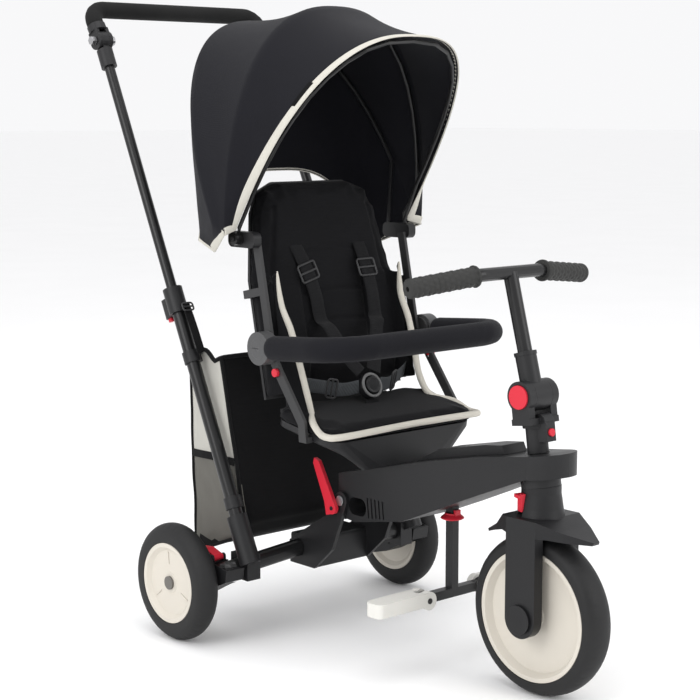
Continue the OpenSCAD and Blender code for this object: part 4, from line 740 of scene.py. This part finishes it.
def ribbon(name, path, across, width, mat, body, thick=0.0013):
    """Flat webbing along a path, its width in the given direction, with rounded edges."""
    rings = []
    for i, p in enumerate(path):
        d = (path[min(i + 1, len(path) - 1)] - path[max(i - 1, 0)]).normalized()
        wide = across(i) if callable(across) else across
        wide = (wide - d * wide.dot(d)).normalized()
        up = d.cross(wide)
        ring = []
        for u, v in ((-1, -0.4), (-0.96, -1), (-0.5, -1), (0, -1), (0.5, -1), (0.96, -1), (1, -0.4),
                     (1, 0.4), (0.96, 1), (0.5, 1), (0, 1), (-0.5, 1), (-0.96, 1), (-1, 0.4)):
            ring.append(p + wide * u * width / 2 + up * v * thick / 2)
        rings.append(ring)
    obj = skin(name, rings, mat, body, crease=50)
    return obj


def loop_frame(name, middle, wide, high, sizes, bar_r, mat, body):
    """A slider: a rectangular plastic frame with rounded corners and a bar across it."""
    w, h = sizes
    pts = [middle + wide * u * w / 2 + high * v * h / 2
           for u, v in ((-1, -1), (1, -1), (1, 1), (-1, 1))]
    start = (pts[3] + pts[0]) / 2
    path = rounded([start] + pts + [start + (pts[0] - start) * 0.001], 0.0035, 5)
    obj = skin(name, rings_along(path, bar_r, 10), mat, body)
    bar = [middle - wide * w / 2, middle + wide * w / 2]
    skin(name + "_bar", rings_along(even(bar, 0.006), bar_r, 10), mat, body)
    return obj


slider_plastic = worn("slider_plastic", (0.03, 0.03, 0.031), 0.3, depth=0.08, edge=3.0)
y_axis = Vector((0, 1, 0))
for side, label in ((-1, "right"), (1, "left")):
    tie = smooth_path([at(-57, side * 163, 497), at(-51, side * 163, 487), at(-37, side * 163, 463),
                       at(-25, side * 163, 440), at(-20, side * 161, 424)], 24)
    ribbon(f"bag_tie_{label}", tie, y_axis, 0.014, binding, "rear_frame")
    loop_frame(f"bag_tie_ring_{label}", tie[5] + Vector((0.0025, 0, 0.0015)), y_axis,
               (tie[3] - tie[7]).normalized(), (0.019, 0.012), 0.0014, slider_plastic, "rear_frame")

# The seat is a stuffed cushion on its pan, and the back a padded cover over its panel, with
# bolsters down both edges. Both are filled with fibre and sewn in black cloth.
seat_cloth = woven("seat_cloth", (0.0065, 0.0065, 0.0075), thread=0.0011, depth=0.35)
lean, tilt = math.radians(12), math.radians(9.5)


def on_back(x, y, z):
    """A point in mm in the plane of the back: forward of it, to the left and up along it."""
    return at(110 + x * math.cos(lean) - z * math.sin(lean), y,
              346 + x * math.sin(lean) + z * math.cos(lean))


def off_back(p):
    """The same three lengths for a point."""
    d = (p - at(110, 0, 346)) * 1000
    return (d.x * math.cos(lean) + d.z * math.sin(lean), d.y,
            -d.x * math.sin(lean) + d.z * math.cos(lean))


def on_seat(x, y, z):
    """A point in mm on the seat: behind its front edge (x below 0), to the left and above it."""
    return at(264 + x * math.cos(tilt) + z * math.sin(tilt), y,
              341 - x * math.sin(tilt) + z * math.cos(tilt))


def settled(obj):
    """Applies an object's modifiers to its mesh."""
    graph = bpy.context.evaluated_depsgraph_get()
    mesh = bpy.data.meshes.new_from_object(obj.evaluated_get(graph))
    obj.modifiers.clear()
    obj.data = mesh
    return mesh


def stuffed(name, node, mat, body, held, voxel=0.005, pressure=4.0, cap=0.006, smaller=0.003,
            frames=20):
    """The CAD node's shape as a sewn cover, swelled by a cloth simulation but held where it
    rests, then smoothed by one subdivision."""
    mesh = NODE[node].data.copy()
    mesh.name = name
    mesh.materials.clear()
    mesh.materials.append(mat)
    obj = link(bpy.data.objects.new(name, mesh))
    grid = obj.modifiers.new("grid", "REMESH")
    grid.mode = "VOXEL"
    grid.voxel_size = voxel
    soft = obj.modifiers.new("soft", "SMOOTH")
    soft.iterations = 6
    mesh = settled(obj)
    normals = [v.normal.copy() for v in mesh.vertices]
    fixed = [held(v.co, n) for v, n in zip(mesh.vertices, normals)]
    for v, n, f in zip(mesh.vertices, normals, fixed):
        v.co -= n * (smaller * (0.3 if f else 1))
    rest = [v.co.copy() for v in mesh.vertices]
    pins = obj.vertex_groups.new(name="held")
    pins.add([i for i, f in enumerate(fixed) if f], 1.0, "REPLACE")
    sim = obj.modifiers.new("cloth", "CLOTH")
    sim.settings.use_pressure = True
    sim.settings.uniform_pressure_force = pressure
    sim.settings.vertex_group_mass = "held"
    sim.settings.tension_stiffness = 25
    sim.settings.compression_stiffness = 25
    sim.settings.effector_weights.gravity = 0
    sim.point_cache.frame_start = 1
    sim.point_cache.frame_end = frames
    for f in range(1, frames + 1):
        scene.frame_set(f)
    graph = bpy.context.evaluated_depsgraph_get()
    now = [v.co.copy() for v in obj.evaluated_get(graph).data.vertices]
    obj.modifiers.clear()
    scene.frame_set(1)
    for v, a, b in zip(mesh.vertices, rest, now):
        step = b - a
        v.co = a + step * min(1.0, cap / max(step.length, 1e-9))
    fine = obj.modifiers.new("fine", "SUBSURF")
    fine.levels = fine.render_levels = 1
    mesh = settled(obj)
    mesh.shade_smooth()
    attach(obj, body)
    return obj


def sewn(obj, place, seams, deep, wide):
    """Draws a cushion in along sewn lines. place gives a point's two lengths on the face, or None
    away from it; each seam is a line of such points."""
    for v in obj.data.vertices:
        here = place(v.co)
        if here is None:
            continue
        near = 1e9
        for line in seams:
            for a, b in zip(line, line[1:]):
                ax, ay, bx, by = *a, *b
                dx, dy = bx - ax, by - ay
                t = ((here[0] - ax) * dx + (here[1] - ay) * dy) / (dx * dx + dy * dy)
                t = max(0.0, min(1.0, t))
                near = min(near, math.hypot(here[0] - ax - t * dx, here[1] - ay - t * dy))
        if near < wide * 3:
            v.co -= v.normal * deep * math.exp(-((near / wide) ** 2))


seat = stuffed("seat_pad", "seat_cushion", seat_cloth, "frame",
               lambda p, n: n.z < -0.5, cap=0.0045)
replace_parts(seat, "seat_cushion")

back = stuffed("back_pad", "back_cushion", seat_cloth, "backrest",
               lambda p, n: n.x < -0.5, voxel=0.0055)
arc = [(-58 + 116 * i / 10, 4 * math.sin(math.pi * i / 10)) for i in range(11)]
seams = [[(y, z + s) for y, s in arc] for z in (232, 168, 122)]
seams += [[(side * 60, 40), (side * 60, 236)] for side in (-1, 1)]
seams += [[(side * 110, 30), (side * 112, 190), (side * 92, 300)] for side in (-1, 1)]


def back_face(p):
    """The place on the back's padded face, or None behind it."""
    x, y, z = off_back(p)
    return (y, z) if x > 12 else None


sewn(back, back_face, seams, 0.0032, 3.4)
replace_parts(back, "back_cushion")

# A wing of the seat's cloth joins the back to the seat on each side, and off-white binding runs
# from the back down each wing's edge and round the front of the seat.
off_white = woven("binding_white", (0.64, 0.61, 0.54), thread=0.0009, depth=0.45, spread=0.06)
WING_LONG, WING_WIDE = 40, 8


def wing_edge(side):
    """The front edge of a wing, from its top on the back to the seat's corner."""
    return [on_back(44, side * 121, 202), at(117, side * 119, 506), at(137, side * 117, 469),
            at(152, side * 115, 426), at(166, side * 113, 384), at(184, side * 119, 355),
            at(213, side * 140, 346), at(237, side * 147, 334.5)]


for side, label in ((-1, "right"), (1, "left")):
    edge = smooth_path(wing_edge(side), WING_LONG)
    root = smooth_path([on_back(36, side * 124, 196), on_back(38, side * 128, 150),
                        on_back(38, side * 130, 90), on_back(36, side * 131, 40),
                        on_seat(-112, side * 134, -2), on_seat(-80, side * 138, -4),
                        on_seat(-45, side * 140, -6), on_seat(-20, side * 139, -7)], WING_LONG)
    verts = []
    for i, (a, b) in enumerate(zip(edge, root)):
        for j in range(WING_WIDE + 1):
            s = j / WING_WIDE
            p = a.lerp(b, s)
            p.y += side * 0.0022 * math.sin(math.pi * s) * math.sin(math.pi * i / WING_LONG)
            verts.append(p)
    n = WING_WIDE + 1
    faces = [(i * n + j, i * n + j + 1, (i + 1) * n + j + 1, (i + 1) * n + j)
             for i in range(WING_LONG) for j in range(WING_WIDE)]
    wing = piece(f"seat_wing_{label}", verts, faces, seat_cloth, None)
    pad_up = wing.modifiers.new("cloth", "SOLIDIFY")
    pad_up.thickness = 0.003
    pad_up.offset = 0
    settled(wing)
    wing.data.shade_smooth()
    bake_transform(wing)

right, left = wing_edge(-1), wing_edge(1)
front = [at(255, -147.5, 332), at(263, -138, 332), at(266, -110, 332.5), at(266.5, -50, 334),
         at(266.5, 0, 335), at(266.5, 50, 335), at(266, 110, 334.5), at(263, 138, 333.5),
         at(255, 147.5, 333)]
PIPING_STEPS = 190
piping = smooth_path(right + front + left[::-1], PIPING_STEPS)


def taper(i, a):
    """Full width, drawn to a point where it is sewn into the back."""
    return 0.0049 * min(1.0, 0.25 + min(i, PIPING_STEPS - i) / 9)


bead = skin("seat_piping", rings_along(piping, taper, 14), off_white, None, crease=70)
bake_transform(bead)

# The harness is black webbing with plastic sliders. It comes out of slots in the back, and all
# five straps meet in a round buckle with a grey ring and a button in the middle.
webbing = woven("harness_webbing", (0.0105, 0.0105, 0.0115), thread=0.0012, depth=0.6)
lap_webbing = woven("lap_webbing", (0.07, 0.075, 0.08), thread=0.0014, depth=0.8, spread=0.35)
out_back = (on_back(1, 0, 0) - on_back(0, 0, 0)).normalized()
lap_wide = Vector((0.25, 0, 1))
hub = centre_of("buckle")
for side, label in ((-1, "right"), (1, "left")):
    loose = 0 if side < 0 else 10
    down = smooth_path([on_back(17, side * 62, 244), on_back(23, side * 62, 238),
                        on_back(27 + loose * 0.6, side * (51 + loose), 205),
                        on_back(29 + loose, side * (42 + 2 * loose), 165),
                        on_back(31 + loose, side * (40 + 2 * loose), 128),
                        hub + Vector((-0.036, side * 0.046, 0.086)),
                        hub + Vector((-0.02, side * 0.028, 0.045)),
                        hub + Vector((-0.006, side * 0.013, 0.021))], 60)
    shoulder = ribbon(f"shoulder_strap_{label}", down, y_axis, 0.024, webbing, None)
    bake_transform(shoulder)
    if side < 0:
        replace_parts(shoulder, "shoulder_straps")
    place = (down[18] + down[19]) / 2 + out_back * 0.0014
    along = (down[16] - down[21]).normalized()
    wide = (y_axis - along * y_axis.dot(along)).normalized()
    loop_frame(f"shoulder_slider_{label}", place, wide, along, (0.034, 0.026), 0.0016,
               slider_plastic, "backrest")
    lap = smooth_path([hub + Vector((-0.002, side * 0.02, 0.001)),
                       hub + Vector((-0.010, side * 0.045, -0.002)),
                       hub + Vector((-0.022, side * 0.075, 0.004)),
                       hub + Vector((-0.038, side * 0.105, 0.010)),
                       hub + Vector((-0.052, side * 0.122, 0.012))], 36)
    ribbon(f"lap_strap_{label}", lap, lap_wide, 0.021, lap_webbing, "frame")
    loop_frame(f"lap_slider_{label}", lap[14] + Vector((0.0012, 0, 0)), lap_wide.normalized(),
               (lap[16] - lap[12]).normalized(), (0.029, 0.015), 0.0014, slider_plastic, "frame")
crotch = smooth_path([hub + Vector((0.004, 0, -0.020)), hub + Vector((0.006, 0, -0.026)),
                      on_seat(-84, 0, 6)], 14)
crotch_strap = ribbon("crotch_strap", crotch, y_axis, 0.026, webbing, "frame")
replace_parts(crotch_strap, "lap_straps")

buckle_dark = worn("buckle_plastic", (0.011, 0.011, 0.012), 0.3, depth=0.06, edge=1.8)
buckle_grey = worn("buckle_ring", (0.13, 0.13, 0.13), 0.4, depth=0.12, edge=1.4)
buckle_lean = math.radians(68)
out = Vector((math.sin(buckle_lean), 0, math.cos(buckle_lean)))
buckle_r = (Vector(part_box("buckle")[1]).y - Vector(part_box("buckle")[0]).y) / 2
case = [(0.0008, -0.0070), (buckle_r - 0.002, -0.0070), (buckle_r - 0.0003, -0.0055),
        (buckle_r - 0.0003, 0.0035), (buckle_r - 0.0012, 0.0052), (buckle_r - 0.0058, 0.0052),
        (buckle_r - 0.0064, 0.0030), (buckle_r - 0.0064, 0.0012), (0.0008, 0.0012)]
body_shell = spun("buckle_case", hub, out, case, buckle_dark, "frame")
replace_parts(body_shell, "buckle")
ring = [(buckle_r - 0.0056, 0.0049), (buckle_r - 0.0052, 0.0066), (buckle_r - 0.0042, 0.0074),
        (buckle_r - 0.0022, 0.0072), (buckle_r - 0.0010, 0.0060), (buckle_r - 0.0010, 0.0049)]
spun("buckle_ring", hub, out, ring, buckle_grey, "frame")
press = [(0.0006, 0.0040), (buckle_r - 0.0072, 0.0040), (buckle_r - 0.0072, 0.0080),
         (buckle_r - 0.0080, 0.0088), (buckle_r - 0.0105, 0.0090), (buckle_r - 0.0112, 0.0083),
         (0.0006, 0.0080)]
button = spun("buckle_press", hub, out, press, buckle_dark, "buckle_button")
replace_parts(button, "buckle_button")

# The canopy is one sheet of black cloth stretched over three ribs, slack between them, with its
# sides hanging past the pivots. Off-white binding is folded over its front and lower edges.
canopy_cloth = woven("canopy_cloth", (0.0085, 0.0085, 0.0115), thread=0.0009, depth=0.22,
                     spread=0.12, sheen=0.06, rough=0.8)
RIM = (80, 619, 170, 330, 57.2, 2.63, 20)
RIB = (84, 612, 195, 323, 86.6, 2.44, 0)
REAR = (62, 619, 199, 337, 116.4, 2.3, 0)


def arch(s, a):
    """A place in mm on an arch: foot x and z, half width, height, lean, squareness, bow."""
    c, t = math.cos(math.radians(a)), math.sin(math.radians(a))
    lean_a = math.radians(s[4])
    h = s[3] * max(t, 0) ** (2 / s[5])
    bow = s[6] * t * t
    return Vector((s[0] + h * math.cos(lean_a) + bow * math.sin(lean_a),
                   s[2] * math.copysign(abs(c) ** (2 / s[5]), c),
                   s[1] + h * math.sin(lean_a) - bow * math.cos(lean_a)))


CANOPY_MIDDLE = Vector((60, 0, 700))
EDGE_DROP = Vector((1, 0, 5))


def hem(a):
    """A place on the lower hem behind the back."""
    c = math.cos(math.radians(a))
    k = abs(c)
    return Vector((-30 + 13 * k ** 4, 165 * math.copysign(k ** 0.8, c), 692 - 99 * k ** 2.4))


def over(u, a):
    """A place on the cloth, from the rim (u = 0) over the ribs (1 and 2) to the hem (3)."""
    k = min(int(u), 2)
    f = u - k
    p = arch((RIM, RIB, REAR)[k], a)
    q = arch((RIB, REAR)[k], a) if k < 2 else hem(a)
    t = math.sin(math.radians(a))
    dip = 4 * f * (1 - f) * (7 if k < 2 else -10) * t
    ripple = math.sin(math.radians(a) * 13 + 4 * u) * math.exp(-((f - 0.5) / 0.3) ** 2)
    dip += 0.7 * ripple * (1 - t) * 4 * f * (1 - f)
    here = p.lerp(q, f)
    return here + (CANOPY_MIDDLE - here).normalized() * dip


def low_edge(u):
    """A place on the lower edge of the right side."""
    start, tip, rear = over(1, 0) - EDGE_DROP, Vector((22, 166, 578)), Vector((-17, 166, 593))
    if u <= 1:
        return over(u, 0) - EDGE_DROP
    if u <= 2:
        return start.lerp(tip, u - 1)
    return tip.lerp(rear, u - 2)


def in_row(p):
    """A place in mm, as a point of the scene."""
    return at(p.x, p.y, p.z)


ROWS, COLS = 42, 88
angles = [180 * i / COLS for i in range(COLS + 1)]
grid = []
for r in range(ROWS + 1):
    u = 3 * r / ROWS
    edge = low_edge(u)
    row = [edge, edge.lerp(over(u, 0), 0.5)]
    row += [over(u, 0.4 * 180 * (0.5 - 0.5 * math.cos(math.radians(a))) + 0.6 * a) for a in angles]
    other = Vector((edge.x, -edge.y, edge.z))
    row += [other.lerp(over(u, 180), 0.5), other]
    grid.append([in_row(p) for p in row])
n = len(grid[0])
verts = [p for row in grid for p in row]
faces = [(r * n + c, r * n + c + 1, (r + 1) * n + c + 1, (r + 1) * n + c)
         for r in range(ROWS) for c in range(n - 1)]
canopy = piece("canopy_sheet", verts, faces, canopy_cloth, None, crease=180)
inner = in_row(CANOPY_MIDDLE)
upward = sum(1 for f in canopy.data.polygons if f.normal.dot(f.center - inner) > 0)
if upward < len(canopy.data.polygons) / 2:
    canopy.data.flip_normals()
cloth = canopy.modifiers.new("cloth", "SOLIDIFY")
cloth.thickness = 0.0016
cloth.offset = -1
settled(canopy)
canopy.data.shade_smooth()
canopy.data.set_sharp_from_angle(angle=math.radians(70))
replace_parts(canopy, "canopy_fabric")
fold_shift = Vector((0.010, 0, 0))
fold_from = in_row(arch(REAR, 90)) + fold_shift
fold_to = in_row(arch(RIM, 90)) + fold_shift
white_trim = woven("canopy_trim", (0.6, 0.58, 0.52), thread=0.0009, depth=0.4, spread=0.07)


def trim(name, points, inward, wide_at, thick, mat):
    """Binding folded over an edge of the canopy: a flattened tube that covers the edge."""
    rings = []
    for i, p in enumerate(points):
        d = (points[min(i + 1, len(points) - 1)] - points[max(i - 1, 0)]).normalized()
        side = (inward[i] - d * inward[i].dot(d)).normalized()
        up = d.cross(side)
        wide = wide_at(i)
        rings.append([p + side * (wide * 0.5 * math.cos(2 * math.pi * j / 14) + wide * 0.36)
                      + up * thick * 0.5 * math.sin(2 * math.pi * j / 14) for j in range(14)])
    obj = skin(name, rings, mat, None, crease=80)
    return obj


edges = {
    "canopy_front_trim": (grid[0], [b - a for a, b in zip(grid[0], grid[2])]),
    "canopy_hem_trim": (grid[-1], [b - a for a, b in zip(grid[-1], grid[-3])]),
    "canopy_low_trim_left": ([row[0] for row in grid], [row[2] - row[0] for row in grid]),
    "canopy_low_trim_right": ([row[-1] for row in grid], [row[-3] - row[-1] for row in grid]),
}
wide_fold, narrow_fold, fold_thick = 0.0125, 0.006, 0.0034
trims = []
for name, (points, inward) in edges.items():
    wide_rows = {"canopy_front_trim": len(points), "canopy_hem_trim": 0}.get(name, ROWS * 2 / 3)
    trims.append(trim(name, points, inward, lambda i: wide_fold if i < wide_rows else narrow_fold,
                      fold_thick, white_trim))
for obj in [canopy] + trims:
    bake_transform(obj)

# A small dark tag is sewn into the seam beside the binding on the canopy's right side.
tag_cloth = woven("tag_cloth", (0.003, 0.003, 0.0035), thread=0.0008, depth=0.3)
tag_rows = []
for i in range(9):
    a = 138 + 10 * i / 8
    rim_side, back_side = (in_row(over(u, a)) for u in (0.055, 0.125))
    lift = (rim_side - inner).normalized() * 0.0022
    tag_rows.append([rim_side + lift * 0.2, rim_side + lift, back_side + lift, back_side + lift * 0.2])
tag = skin("canopy_tag", tag_rows, tag_cloth, None, crease=60)
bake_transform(tag)
